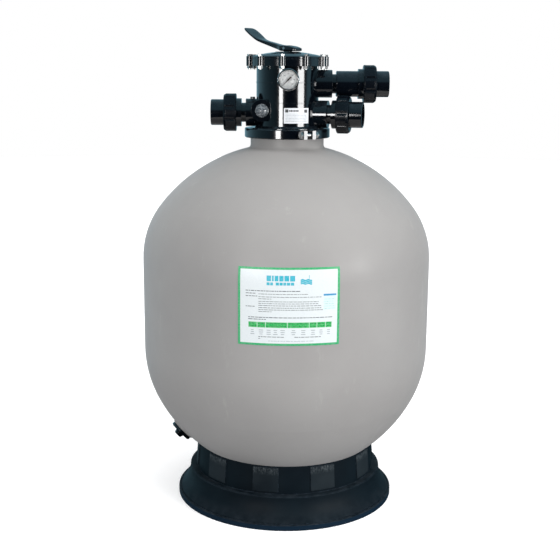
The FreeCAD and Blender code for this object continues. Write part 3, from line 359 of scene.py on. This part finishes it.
def moulded(name, dark, light, worn_and_lit, roughness, edge=0.8 * MM, dust_and_sheen=None, coat=0.0, gloss=0.5):
    """Injection-moulded plastic: faint mottling, fine grain, rubbed edges, and settled dust with a
    painted pale sheen on upward faces.
    """
    shade = Shade(name, Coat_Weight=coat, Coat_Roughness=0.08, Specular_IOR_Level=gloss)
    shade.round_edges(edge)
    rubbed_and_highlit = shade.spread(shade.noise(150, 4, 0.6), 0.42, 0.66)
    rubbed_and_highlit = shade.maths("MULTIPLY", shade.edges(edge), rubbed_and_highlit)
    tone = shade.mix(shade.spread(shade.noise(11, 3), 0.35, 0.65), dark, light)
    tone = shade.mix(rubbed_and_highlit, tone, worn_and_lit)
    rough = shade.spread(shade.noise(40, 4, 0.6), 0.3, 0.7, roughness - 0.03, roughness + 0.05)
    rough = shade.maths("ADD", rough, shade.maths("MULTIPLY", rubbed_and_highlit, 0.15))
    # Settled dust and a painted sheen: upward faces are lightened towards a pale bluish tone, as if
    # lit from above.
    if dust_and_sheen:
        settled_and_lit = shade.spread(shade.noise(55, 5, 0.65), 0.35, 0.75)
        settled_and_lit = shade.maths("MULTIPLY", shade.upward(), settled_and_lit)
        tone = shade.mix(shade.maths("MULTIPLY", settled_and_lit, 0.35), tone, dust_and_sheen)
        rough = shade.maths("ADD", rough, shade.maths("MULTIPLY", settled_and_lit, 0.2))
    shade.give(tone, "Base Color")
    shade.give(rough, "Roughness")
    shade.bump(shade.noise(1100, 2), 0.02 * MM, 0.25)
    shade.bump(shade.noise(30, 2), 0.25 * MM, 0.12)
    return shade


def tank_moulding():
    """Blow-moulded wall: satin grey with fine pimples, slow waves and faint handling marks."""
    shade = Shade("tank_moulding", Specular_IOR_Level=0.4, Sheen_Weight=0.2, Sheen_Roughness=0.4)
    cloud = shade.spread(shade.noise(5, 4, 0.55), 0.35, 0.65)
    tone = shade.mix(cloud, (0.3, 0.29, 0.283), (0.324, 0.314, 0.306))
    speck = shade.spread(shade.noise(420, 2), 0.66, 0.72)
    tone = shade.mix(shade.maths("MULTIPLY", speck, 0.25), tone, (0.24, 0.23, 0.22))
    scuff = shade.noise(26, 5, 0.7, stretch=(1, 1, 0.25))
    tone = shade.mix(shade.spread(scuff, 0.62, 0.74, 0.0, 0.3), tone, (0.47, 0.46, 0.44))
    shade.give(tone, "Base Color")
    shade.give(shade.spread(shade.noise(30, 4, 0.6), 0.3, 0.7, 0.42, 0.54), "Roughness")
    shade.bump(shade.noise(650, 2), 0.06 * MM, 0.5)
    shade.bump(shade.noise(9, 2), 1.2 * MM, 0.15)
    return shade


# As in the CAD: lower edge of the stand's ring, its slope, top of the foot, and the pads.
RING_RADIUS = 200 * MM
RING_LOW = 64 * MM
RING_TAPER = 4.5 / 58.5
FOOT_TOP = 10 * MM
PAD_LOW = 69 * MM
PAD_TOP = 121 * MM


def stand_moulding():
    """Satin moulded stand: painted pale reflections streak the pads of its upper ring; its foot has a
    painted bluish reflection.
    """
    # The last tone given is settled dust with a painted pale sheen on upward faces.
    shade = moulded("stand_plastic", srgb(7, 17, 24), srgb(13, 24, 31), srgb(58, 72, 86), 0.5,
                    edge=1.5 * MM, dust_and_sheen=srgb(72, 80, 88), gloss=0.12)
    split = shade.tree.nodes.new("ShaderNodeSeparateXYZ")
    shade.tree.links.new(shade.place, split.inputs[0])
    east, north, height = split.outputs
    reach = shade.maths("SQRT", shade.maths("ADD", shade.maths("MULTIPLY", east, east),
                                            shade.maths("MULTIPLY", north, north)))
    taper = shade.maths("MULTIPLY", shade.maths("SUBTRACT", height, RING_LOW), RING_TAPER)
    proud = shade.maths("ADD", reach, taper)
    on_pad = shade.spread(proud, RING_RADIUS + 0.8 * MM, RING_RADIUS + 1.6 * MM)
    on_pad = shade.maths("MULTIPLY", on_pad, shade.spread(height, PAD_LOW, PAD_LOW + MM))
    on_pad = shade.maths("MULTIPLY", on_pad, shade.spread(height, PAD_TOP + MM, PAD_TOP - 2 * MM))
    # Painted reflection: pale streaks over the upper part of each pad.
    streaks = shade.spread(shade.noise(260, 5, 0.75, stretch=(1, 1, 0.5)), 0.44, 0.74)
    upper = shade.spread(height, PAD_TOP - 17 * MM, PAD_TOP - 3 * MM, 0, 0.75)
    rubbed_and_highlit = shade.maths("MULTIPLY", on_pad, shade.maths("MULTIPLY", upper, streaks))
    # Painted reflection: the pads are paler in broad patches.
    worn_and_lit = shade.maths("MULTIPLY", on_pad, shade.spread(shade.noise(9, 2), 0.36, 0.6, 0.15, 0.7))
    tone = shade.shader.inputs["Base Color"].links[0].from_socket
    tone = shade.mix(worn_and_lit, tone, srgb(40, 48, 53))
    # Painted reflection: the foot, below its top, is tinted bluish.
    tone = shade.mix(shade.spread(height, FOOT_TOP + MM, FOOT_TOP, 0, 0.6), tone, srgb(16, 40, 60))
    shade.give(shade.mix(rubbed_and_highlit, tone, srgb(112, 120, 124)), "Base Color")
    return shade


def metal(name, colour, roughness):
    """Turned or drawn metal with a fine grain, dull patches and brighter edges."""
    shade = Shade(name, Metallic=1.0)
    shade.round_edges(0.3 * MM)
    tarnish = shade.spread(shade.noise(90, 4, 0.6), 0.4, 0.75)
    duller = tuple(0.72 * value for value in colour)
    tone = shade.mix(tarnish, colour, duller)
    shade.give(shade.mix(shade.edges(0.4 * MM), tone, (0.86, 0.86, 0.85)), "Base Color")
    rough = shade.spread(shade.noise(160, 3), 0.3, 0.7, roughness, roughness + 0.14)
    shade.give(rough, "Roughness")
    shade.bump(shade.noise(900, 3, stretch=(1, 1, 6)), 0.02 * MM, 0.3)
    return shade


def window(name, tint, roughness):
    """Clear moulded plastic with a faint haze and fine wipe marks."""
    shade = Shade(name, Transmission_Weight=1.0, IOR=1.49)
    haze = shade.spread(shade.noise(70, 4, 0.6), 0.35, 0.7)
    shade.give(shade.mix(haze, tint, tuple(0.94 * value for value in tint)), "Base Color")
    shade.give(shade.maths("ADD", shade.maths("MULTIPLY", haze, 0.05), roughness), "Roughness")
    shade.bump(shade.noise(400, 3, stretch=(1, 4, 1)), 0.01 * MM, 0.2)
    return shade


INK_COVER = 0.88


def print_ink(name, colour):
    """Printed ink: slightly uneven coverage over the film."""
    shade = Shade(name, Specular_IOR_Level=0.35)
    paler = tuple(value + (1 - value) * (1 - INK_COVER) for value in colour)
    cover = shade.spread(shade.noise(300, 3, 0.6), 0.35, 0.7)
    shade.give(shade.mix(cover, colour, paler), "Base Color")
    shade.give(shade.spread(shade.noise(80, 3), 0.3, 0.7, 0.32, 0.42), "Roughness")
    shade.bump(shade.noise(900, 2), 0.01 * MM, 0.2)
    return shade


def sight_moulding():
    """Clear plug over the sight port, half cloudy, with a bumped face and painted mottled highlights
    in its colour.
    """
    shade = Shade("sight_window", Transmission_Weight=0.5, IOR=1.49, Coat_Weight=0.6)
    # Painted highlights: a mottle of pale and dark in the colour, which also varies the roughness.
    painted_glints = shade.spread(shade.noise(170, 4, 0.65), 0.42, 0.6)
    shade.give(shade.mix(painted_glints, (0.13, 0.15, 0.17), (0.4, 0.43, 0.46)), "Base Color")
    shade.give(shade.spread(painted_glints, 0, 1, 0.04, 0.3), "Roughness")
    shade.bump(shade.noise(210, 3), 0.5 * MM, 0.5)
    return shade


# Tones of each moulding, dark, light and worn, and of the settled dust with painted sheen that
# lightens its upward faces.
BLACK = ((0.0012, 0.0022, 0.0042), (0.0024, 0.004, 0.007), (0.03, 0.037, 0.046))
ROTOR_GREY = ((0.05, 0.05, 0.055), (0.065, 0.065, 0.07), (0.16, 0.16, 0.17))
PIPE_WHITE = ((0.7, 0.7, 0.68), (0.77, 0.77, 0.74), (0.85, 0.85, 0.83))
RUBBER = ((0.008, 0.008, 0.008), (0.013, 0.013, 0.013), (0.04, 0.04, 0.04))
POINTER_RED = ((0.03, 0.006, 0.005), (0.04, 0.008, 0.007), (0.1, 0.1, 0.1))
# Pale bluish tone for settled dust and a painted top sheen on upward faces.
DUST_AND_SHEEN = (0.07, 0.1, 0.125)

shades = {
    "black_plastic": moulded("black_plastic", *BLACK, 0.13, dust_and_sheen=DUST_AND_SHEEN, coat=0.8),
    "nut_plastic": moulded("nut_plastic", *BLACK, 0.24, coat=0.2, gloss=0.3),
    "rotor_plastic": moulded("rotor_plastic", *ROTOR_GREY, 0.4),
    "pipe_plastic": moulded("pipe_plastic", *PIPE_WHITE, 0.35),
    "seal_rubber": moulded("seal_rubber", *RUBBER, 0.55),
    "tank_moulding": tank_moulding(),
    "label_film": print_ink("label_film", (0.67, 0.715, 0.73)),
    "plate_film": print_ink("plate_film", (0.8, 0.82, 0.85)),
    "dial_card": print_ink("dial_card", (0.86, 0.86, 0.85)),
    "pointer_paint": moulded("pointer_paint", *POINTER_RED, 0.35),
    "bolt_steel": metal("bolt_steel", (0.66, 0.66, 0.65), 0.24),
    "spring_steel": metal("spring_steel", (0.55, 0.55, 0.56), 0.3),
    "gauge_metal": metal("gauge_metal", (0.78, 0.78, 0.78), 0.1),
    "gauge_brass": metal("gauge_brass", (0.72, 0.52, 0.26), 0.28),
    "clear_window": window("clear_window", (0.97, 0.99, 0.99), 0.03),
    "gauge_window": window("gauge_window", (0.99, 0.99, 0.99), 0.0),
}
# Inks by name, in display values of 0 to 255.
INK_COLOURS = {
    "border": (22, 162, 98), "cyan": (16, 168, 190), "blue": (40, 140, 190),
    "pale": (205, 240, 238), "green": (0, 174, 78), "dark_green": (0, 108, 58),
    "grey": (72, 80, 84), "faint": (150, 158, 164), "black": (22, 26, 32),
}
inks = {name: print_ink("ink_" + name, srgb(*colour)) for name, colour in INK_COLOURS.items()}

for part in frame["record"]["subparts"]:
    node = nodes[part["node"]]
    node.data.materials.clear()
    node.data.materials.append(shades[part["material_slot"]].material)
nodes["base"].data.materials[0] = stand_moulding().material
nodes["sight_glass"].data.materials[0] = sight_moulding().material


# ---------------------------------------------------------------- mesh helpers

SHARP_ANGLE = math.radians(35)


def new_piece(name, bm, shade, body="root", replaced=()):
    """Turn a bmesh into a shown piece that rides on a CAD body."""
    bmesh.ops.recalc_face_normals(bm, faces=bm.faces[:])
    mesh = bpy.data.meshes.new(name)
    bm.to_mesh(mesh)
    bm.free()
    mesh.materials.append(shade.material)
    piece = bpy.data.objects.new(name, mesh)
    scene.collection.objects.link(piece)
    mesh.shade_smooth()
    mesh.set_sharp_from_angle(angle=SHARP_ANGLE)
    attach(piece, body)
    if replaced:
        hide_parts(*replaced)
    return piece


def steps(start, end, count):
    """Evenly spaced values from start to end, both included."""
    return [start + (end - start) * index / count for index in range(count + 1)]


def sheet_solid(bm, surface, us, vs, low, high):
    """Closed thin solid over a grid of surface(u, v, lift) between two lifts."""
    layers = []
    for lift in (low, high):
        layers.append([[bm.verts.new(surface(u, v, lift)) for u in us] for v in vs])
    bottom, top = layers
    last_row = len(vs) - 1
    last_column = len(us) - 1
    for row in range(last_row):
        for column in range(last_column):
            for layer in layers:
                bm.faces.new((layer[row][column], layer[row][column + 1],
                              layer[row + 1][column + 1], layer[row + 1][column]))
    for row in range(last_row):
        for column in (0, last_column):
            bm.faces.new((bottom[row][column], bottom[row + 1][column],
                          top[row + 1][column], top[row][column]))
    for column in range(last_column):
        for row in (0, last_row):
            bm.faces.new((bottom[row][column], bottom[row][column + 1],
                          top[row][column + 1], top[row][column]))


INK_HALF = 0.04 * MM
INK_CELL = 0.03


def printed(bm, surface, left, low, right, high, lift):
    """Rectangle of ink on a surface, in fractions of its width and height."""
    us = steps(left, right, max(1, math.ceil((right - left) / INK_CELL)))
    vs = steps(low, high, max(1, math.ceil((high - low) / INK_CELL)))
    sheet_solid(bm, surface, us, vs, lift - INK_HALF, lift + INK_HALF)


def printed_words(bm, surface, left, right, middle, tall, lift, shortest=0.012, longest=0.045):
    """A line of print: bars as long as words, with gaps as between words."""
    here = left
    while here < right - shortest:
        there = min(here + chance.uniform(shortest, longest), right)
        printed(bm, surface, here, middle - tall / 2, there, middle + tall / 2, lift)
        here = there + 0.5 * shortest


# ---------------------------------------------------------------- tank label

TANK_RADIUS = 313.5 * MM
KNUCKLE_RADIUS = 186 * MM
KNUCKLE_START = 541 * MM
LABEL_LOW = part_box("tank_label")[0].z
LABEL_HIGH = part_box("tank_label")[1].z
LABEL_MIDDLE = 270.8
LABEL_ANGLE = 36.6
LABEL_LIFT = 0.5 * MM
ARC_TOP = KNUCKLE_RADIUS * math.asin((LABEL_HIGH - KNUCKLE_START) / KNUCKLE_RADIUS)


def on_tank(u, v, lift):
    """Point over the tank label; u runs left to right and v bottom to top, both 0 to 1."""
    climb = v * (KNUCKLE_START - LABEL_LOW + ARC_TOP)
    lean = max(0.0, climb - (KNUCKLE_START - LABEL_LOW)) / KNUCKLE_RADIUS
    reach = TANK_RADIUS + lift
    height = LABEL_LOW + climb
    if lean > 0:
        reach = TANK_RADIUS - KNUCKLE_RADIUS + (KNUCKLE_RADIUS + lift) * math.cos(lean)
        height = KNUCKLE_START + (KNUCKLE_RADIUS + lift) * math.sin(lean)
    azimuth = math.radians(LABEL_MIDDLE + LABEL_ANGLE * (u - 0.5))
    return Vector((reach * math.cos(azimuth), reach * math.sin(azimuth), height))


# Places on the label are fractions of its width from the left and of its height from below.
BORDER_U = 0.023
BORDER_V = 0.028
# Boxes of print hold left, low, right and high.
HEADING_BOX = (0.283, 0.828, 0.556, 0.898)
SUBHEADING_BOX = (0.283, 0.776, 0.548, 0.812)
BAR_BOX = (0.836, 0.638, 0.963, 0.662)
PANEL_BOX = (0.836, 0.46, 0.963, 0.632)
MAST_BOX = (0.69, 0.862, 0.695, 0.905)
# Relative widths of the blocks in a heading, with 0 for a space, and the gaps between them.
SPACE_WIDTH = 0.4
HEADING_BLOCKS = (0.9, 0.35, 0.75, 0.85, 0.95, 1.0)
SUBHEADING_BLOCKS = (0.8, 0.7, 0, 0.85, 0.8, 0.75, 0.85, 0.9)
HEADING_GAP = 0.009
SUBHEADING_GAP = 0.006
# Lines of print: left, right, middle height and weight.
TEXT_LINES = (
    (0.078, 0.606, 0.702, 1.5), (0.078, 0.175, 0.668, 1.3), (0.204, 0.688, 0.662, 1.0),
    (0.078, 0.193, 0.633, 1.3), (0.204, 0.814, 0.626, 1.0), (0.204, 0.331, 0.600, 1.0),
    (0.204, 0.790, 0.567, 1.0), (0.204, 0.790, 0.541, 1.0), (0.204, 0.814, 0.515, 1.1),
    (0.078, 0.167, 0.500, 1.3), (0.204, 0.814, 0.487, 1.1), (0.204, 0.830, 0.461, 1.1),
    (0.204, 0.331, 0.437, 1.0), (0.104, 0.933, 0.362, 1.4), (0.104, 0.279, 0.337, 1.3),
    (0.204, 0.468, 0.112, 1.2), (0.554, 0.814, 0.112, 1.2), (0.204, 0.230, 0.088, 1.0),
)
# Table: sides of its columns, then middles of the numbers in its rows.
TABLE_COLUMNS = ((0.106, 0.1895), (0.194, 0.271), (0.2755, 0.483), (0.4875, 0.695),
                 (0.6995, 0.771), (0.7755, 0.855), (0.8595, 0.920))
TABLE_NUMBERS = (0.145, 0.23, 0.305, 0.37, 0.44, 0.545, 0.64, 0.735, 0.815, 0.89)
TABLE_LOW = 0.232
TABLE_HIGH = 0.302
TABLE_HEAD_MIDDLES = (0.284, 0.252)
TABLE_ROWS = 3
ROW_LOW = 0.142
ROW_PITCH = 0.026
ROW_TALL = 0.009
# Waves: rows of short strokes that rise and fall.
WAVE_LEFT = 0.61
WAVE_LOW = 0.79
WAVE_ROWS = 3
WAVE_PITCH = 0.022
WAVE_STROKES = 12
WAVE_STROKE = 0.0092
STROKES_PER_WAVE = 6
WAVE_RISE = 0.006
WAVE_TALL = 0.019
# Notes in the panel, and how tall each sort of print is.
PANEL_NOTES = 5
PANEL_NOTE_TOP = 0.595
PANEL_NOTE_PITCH = 0.03
TEXT_TALL = 0.0068
NOTE_TALL = 0.006
HEAD_TALL = 0.009


def blocks(bm, surface, left, low, right, high, widths, gap, lift):
    """Row of upright blocks that stands for a heading; a width of 0 is a space."""
    room = right - left - gap * (len(widths) - 1)
    shares = sum(value or SPACE_WIDTH for value in widths)
    here = left
    for width in widths:
        wide = room * (width or SPACE_WIDTH) / shares
        if width:
            printed(bm, surface, here, low, here + wide, high, lift)
        here += wide + gap


def print_label_border():
    border = bmesh.new()
    printed(border, on_tank, 0, 0, 1, BORDER_V, LABEL_LIFT)
    printed(border, on_tank, 0, 1 - BORDER_V, 1, 1, LABEL_LIFT)
    printed(border, on_tank, 0, BORDER_V, BORDER_U, 1 - BORDER_V, LABEL_LIFT)
    printed(border, on_tank, 1 - BORDER_U, BORDER_V, 1, 1 - BORDER_V, LABEL_LIFT)
    new_piece("tank_label_border", border, inks["border"])


def print_label_heading():
    heading = bmesh.new()
    blocks(heading, on_tank, *HEADING_BOX, HEADING_BLOCKS, HEADING_GAP, LABEL_LIFT)
    blocks(heading, on_tank, *SUBHEADING_BOX, SUBHEADING_BLOCKS, SUBHEADING_GAP, LABEL_LIFT)
    new_piece("tank_label_heading", heading, inks["cyan"])


def print_label_waves():
    """Rows of strokes that rise and fall like water, with a thin mast over them."""
    water = bmesh.new()
    for row in range(WAVE_ROWS):
        low = WAVE_LOW + WAVE_PITCH * row
        for column in range(WAVE_STROKES):
            left = WAVE_LEFT + WAVE_STROKE * column
            bottom = low + WAVE_RISE * math.sin(column * math.tau / STROKES_PER_WAVE)
            printed(water, on_tank, left, bottom, left + WAVE_STROKE, bottom + WAVE_TALL, LABEL_LIFT)
    printed(water, on_tank, *MAST_BOX, LABEL_LIFT)
    new_piece("tank_label_waves", water, inks["cyan"])


def print_label_text():
    """Lines of bars where the sheet has lines of lettering."""
    text = bmesh.new()
    for left, right, middle, weight in TEXT_LINES:
        printed_words(text, on_tank, left, right, middle, TEXT_TALL * weight, LABEL_LIFT)
    new_piece("tank_label_text", text, inks["grey"])


def print_label_figures():
    """Rows of numbers under the table's head, a line at the foot and notes in the panel."""
    figures = bmesh.new()
    for row in range(TABLE_ROWS):
        low = ROW_LOW + ROW_PITCH * row
        for middle in TABLE_NUMBERS:
            half = chance.uniform(0.012, 0.022)
            printed(figures, on_tank, middle - half, low, middle + half, low + ROW_TALL, LABEL_LIFT)
    printed_words(figures, on_tank, 0.3, 0.75, 0.06, NOTE_TALL, LABEL_LIFT)
    for row in range(PANEL_NOTES):
        middle = PANEL_NOTE_TOP - PANEL_NOTE_PITCH * row
        printed_words(figures, on_tank, 0.845, 0.95, middle, NOTE_TALL, LABEL_LIFT)
    new_piece("tank_label_figures", figures, inks["faint"])


def print_label_table():
    """Head of the table: a green box for each column, with two darker lines of print."""
    table = bmesh.new()
    for left, right in TABLE_COLUMNS:
        printed(table, on_tank, left, TABLE_LOW, right, TABLE_HIGH, LABEL_LIFT)
    new_piece("tank_label_table", table, inks["green"])
    head = bmesh.new()
    lift = LABEL_LIFT + 0.06 * MM
    for left, right in TABLE_COLUMNS:
        for middle in TABLE_HEAD_MIDDLES:
            printed_words(head, on_tank, left + 0.008, right - 0.006, middle, HEAD_TALL, lift)
    new_piece("tank_label_table_head", head, inks["dark_green"])


def print_label_panel():
    """Pale panel on the right with a blue bar over it."""
    bar = bmesh.new()
    printed(bar, on_tank, *BAR_BOX, LABEL_LIFT)
    new_piece("tank_label_bar", bar, inks["blue"])
    panel = bmesh.new()
    printed(panel, on_tank, *PANEL_BOX, LABEL_LIFT - 0.03 * MM)
    new_piece("tank_label_panel", panel, inks["pale"])


print_label_border()
print_label_heading()
print_label_waves()
print_label_text()
print_label_figures()
print_label_table()
print_label_panel()

# ---------------------------------------------------------------- plate on the valve body

PLATE_RADIUS = 66.5 * MM
PLATE_LIFT = 0.65 * MM
PLATE_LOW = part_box("body_label")[0].z
PLATE_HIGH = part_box("body_label")[1].z
PLATE_MIDDLE = 287.2
PLATE_ANGLE = 47.6
LEFT_MARK_BOX = (0.05, 0.72, 0.17, 0.92)
RIGHT_MARK_BOX = (0.8, 0.7, 0.93, 0.9)
PLATE_HEADING_BOX = (0.2, 0.76, 0.56, 0.88)
PLATE_BLOCKS = (0.8, 1, 0.7, 0.9, 0.8, 1)
PLATE_GAP = 0.015
PLATE_LINES = 6
PLATE_LINE_TOP = 0.62
PLATE_LINE_PITCH = 0.095
PLATE_LINE_TALL = 0.028


def on_plate(u, v, lift):
    """Point over the valve's plate, u left to right and v bottom to top, both 0 to 1."""
    azimuth = math.radians(PLATE_MIDDLE + PLATE_ANGLE * (u - 0.5))
    reach = PLATE_RADIUS + lift
    height = PLATE_LOW + v * (PLATE_HIGH - PLATE_LOW)
    return Vector((reach * math.cos(azimuth), reach * math.sin(azimuth), height))


def make_plate_print():
    """Two square marks, a heading and rows of lines, all in plain bars."""
    marks = bmesh.new()
    printed(marks, on_plate, *LEFT_MARK_BOX, PLATE_LIFT)
    blocks(marks, on_plate, *PLATE_HEADING_BOX, PLATE_BLOCKS, PLATE_GAP, PLATE_LIFT)
    printed(marks, on_plate, *RIGHT_MARK_BOX, PLATE_LIFT)
    new_piece("valve_plate_marks", marks, inks["black"])
    lines = bmesh.new()
    for row in range(PLATE_LINES):
        middle = PLATE_LINE_TOP - PLATE_LINE_PITCH * row
        printed_words(lines, on_plate, 0.06, 0.9, middle, PLATE_LINE_TALL, PLATE_LIFT,
                      shortest=0.03, longest=0.12)
    new_piece("valve_plate_lines", lines, inks["faint"])


make_plate_print()

# ---------------------------------------------------------------- gauge dial

GAUGE_MIDDLE = Vector((1 * MM, 0, 924.5 * MM))
DIAL_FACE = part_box("gauge_dial")[0].y
DIAL_RADIUS = 19.6 * MM
DIAL_START = 225
DIAL_SWEEP = 270
DIAL_DIVISIONS = 60
DIAL_NUMBERS = 7
NUMBER_STEP = 10
ARC_STEPS = 72
DIAL_INK = 0.05 * MM
# Fractions of the dial's radius: starts of the long and short ticks, the arc, the numbers.
LONG_TICK = 0.76
SHORT_TICK = 0.83
ARC_INNER = 0.9
ARC_OUTER = 0.92
NUMBER_REACH = 0.6
LONG_TICK_HALF = 0.35 * MM
SHORT_TICK_HALF = 0.16 * MM
NUMBER_SIZE = 3.6 * MM
NUMBER_HALF = 0.03 * MM


def on_dial(reach, degrees, lift):
    """Point in front of the dial, by distance from its middle and angle from its right."""
    angle = math.radians(degrees)
    return GAUGE_MIDDLE + Vector((reach * math.cos(angle), DIAL_FACE - lift, reach * math.sin(angle)))


def make_dial_print():
    """Ticks, an arc and the numbers 0 to 60 of a plain pressure gauge."""
    marks = bmesh.new()
    for index in range(DIAL_DIVISIONS + 1):
        degrees = DIAL_START - DIAL_SWEEP * index / DIAL_DIVISIONS
        major = index % NUMBER_STEP == 0
        inner = DIAL_RADIUS * (LONG_TICK if major else SHORT_TICK)
        half = math.degrees((LONG_TICK_HALF if major else SHORT_TICK_HALF) / DIAL_RADIUS)
        sides = (degrees - half, degrees + half)
        sheet_solid(marks, on_dial, (inner, DIAL_RADIUS * ARC_INNER), sides, 0, DIAL_INK)
    arc = steps(DIAL_START, DIAL_START - DIAL_SWEEP, ARC_STEPS)
    reaches = (DIAL_RADIUS * ARC_INNER, DIAL_RADIUS * ARC_OUTER)
    sheet_solid(marks, on_dial, reaches, arc, 0, DIAL_INK)
    new_piece("gauge_dial_ticks", marks, inks["black"])
    for index in range(DIAL_NUMBERS):
        curve = bpy.data.curves.new(f"gauge_dial_number_{index}", "FONT")
        curve.body = str(NUMBER_STEP * index)
        curve.size = NUMBER_SIZE
        curve.align_x = "CENTER"
        curve.align_y = "CENTER"
        curve.extrude = NUMBER_HALF
        number = bpy.data.objects.new(curve.name, curve)
        scene.collection.objects.link(number)
        degrees = DIAL_START - DIAL_SWEEP * index / (DIAL_NUMBERS - 1)
        place = on_dial(DIAL_RADIUS * NUMBER_REACH, degrees, NUMBER_HALF)
        number.matrix_world = Matrix.Translation(place) @ Matrix.Rotation(math.radians(90), 4, "X")
        curve.materials.append(inks["black"].material)
        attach(number, "root")


make_dial_print()

# ---------------------------------------------------------------- selector lever

PIN_HEIGHT = 989 * MM
LEVER_AZIMUTH = 140
SLOT_HALF_LENGTH = 12 * MM
SLOT_HALF_WIDTH = 6.3 * MM
SLOT_HALF_DEPTH = 20 * MM
PIN_HOLE = 3.06 * MM
PIN_HOLE_DEPTH = 50 * MM
# Along the lever from the pin, in mm: distance, underside, top and half of the width.
LEVER_SECTIONS = (
    (-30, -4.6, -1.6, 8), (-28.5, -5.6, 0.2, 12), (-24, -6, 2, 14.4), (-14, -6, 4.8, 15),
    (0, -6, 6.4, 15), (11, -5.7, 6.6, 15), (18, -3.7, 7.6, 12), (26, -1.4, 9.4, 10.2),
    (42, 3.4, 13, 9.8), (56, 7.8, 16, 10.2), (66, 11.4, 18.6, 12.6), (76, 16.2, 22, 16.4),
    (86, 23.2, 28, 18.8), (97, 31, 35.4, 19.4), (106, 37.2, 41.2, 18.2), (111, 40.6, 43.8, 14.6),
    (113.6, 42.6, 44, 8),
)
SECTION_POINTS = 28
SECTION_SQUARENESS = 0.42
SECTION_STEPS = 4
LEVER_SHARP_ANGLE = math.radians(50)


def between(sections, count):
    """Smooth steps through a list of sections, on a Catmull-Rom curve."""
    shown = [sections[0], *sections, sections[-1]]
    for index in range(1, len(shown) - 2):
        before, here, there, after = shown[index - 1:index + 3]
        for step in range(count):
            t = step / count
            yield tuple(
                0.5 * (2 * b + (c - a) * t + (2 * a - 5 * b + 4 * c - d) * t ** 2
                       + (3 * b - a - 3 * c + d) * t ** 3)
                for a, b, c, d in zip(before, here, there, after))
    yield sections[-1]


def squared(angle):
    """Point of a rounded square of half-width 1."""
    across, up = math.cos(angle), math.sin(angle)
    return (math.copysign(abs(across) ** SECTION_SQUARENESS, across),
            math.copysign(abs(up) ** SECTION_SQUARENESS, up))


def loft(bm, rings):
    """Skin over closed rings of points, with a flat face at each end."""
    rows = [[bm.verts.new(point) for point in ring] for ring in rings]
    size = len(rows[0])
    for low, high in zip(rows, rows[1:]):
        for index in range(size):
            after = (index + 1) % size
            bm.faces.new((low[index], low[after], high[after], high[index]))
    bm.faces.new(rows[0])
    bm.faces.new(rows[-1])


def carve(piece, name, bm):
    """Cut a closed bmesh out of a piece."""
    bmesh.ops.recalc_face_normals(bm, faces=bm.faces[:])
    mesh = bpy.data.meshes.new(name)
    bm.to_mesh(mesh)
    bm.free()
    cutter = bpy.data.objects.new(name, mesh)
    scene.collection.objects.link(cutter)
    cut = piece.modifiers.new(name, "BOOLEAN")
    cut.operation = "DIFFERENCE"
    cut.solver = "EXACT"
    cut.object = cutter
    scene_state = bpy.context.evaluated_depsgraph_get()
    carved = bpy.data.meshes.new_from_object(piece.evaluated_get(scene_state))
    piece.modifiers.clear()
    piece.data = carved
    bpy.data.objects.remove(cutter)


def make_lever():
    """Swept lever with a flat grip, cut out for the flats of the stem and for the pin."""
    turn = Matrix.Rotation(math.radians(LEVER_AZIMUTH), 4, "Z")
    place = Matrix.Translation((0, 0, PIN_HEIGHT)) @ turn
    rings = []
    for along, low, high, half in between(LEVER_SECTIONS, SECTION_STEPS):
        ring = []
        middle, tall = (low + high) / 2, (high - low) / 2
        for index in range(SECTION_POINTS):
            across, up = squared(math.tau * (index + 0.5) / SECTION_POINTS)
            ring.append(place @ (Vector((along, half * across, middle + tall * up)) * MM))
        rings.append(ring)
    bm = bmesh.new()
    loft(bm, rings)
    lever = new_piece("selector_lever", bm, shades["black_plastic"], "lever",
                      replaced=("handle",))
    slot = bmesh.new()
    bmesh.ops.create_cube(slot, size=2)
    slot_size = Matrix.Diagonal((SLOT_HALF_LENGTH, SLOT_HALF_WIDTH, SLOT_HALF_DEPTH, 1))
    bmesh.ops.transform(slot, verts=slot.verts, matrix=place @ slot_size)
    carve(lever, "stem_slot", slot)
    hole = bmesh.new()
    bmesh.ops.create_cone(hole, cap_ends=True, segments=48, radius1=PIN_HOLE, radius2=PIN_HOLE,
                          depth=PIN_HOLE_DEPTH)
    bmesh.ops.transform(hole, verts=hole.verts,
                        matrix=place @ Matrix.Rotation(math.radians(90), 4, "X"))
    carve(lever, "pin_hole", hole)
    lever.data.set_sharp_from_angle(angle=LEVER_SHARP_ANGLE)


make_lever()
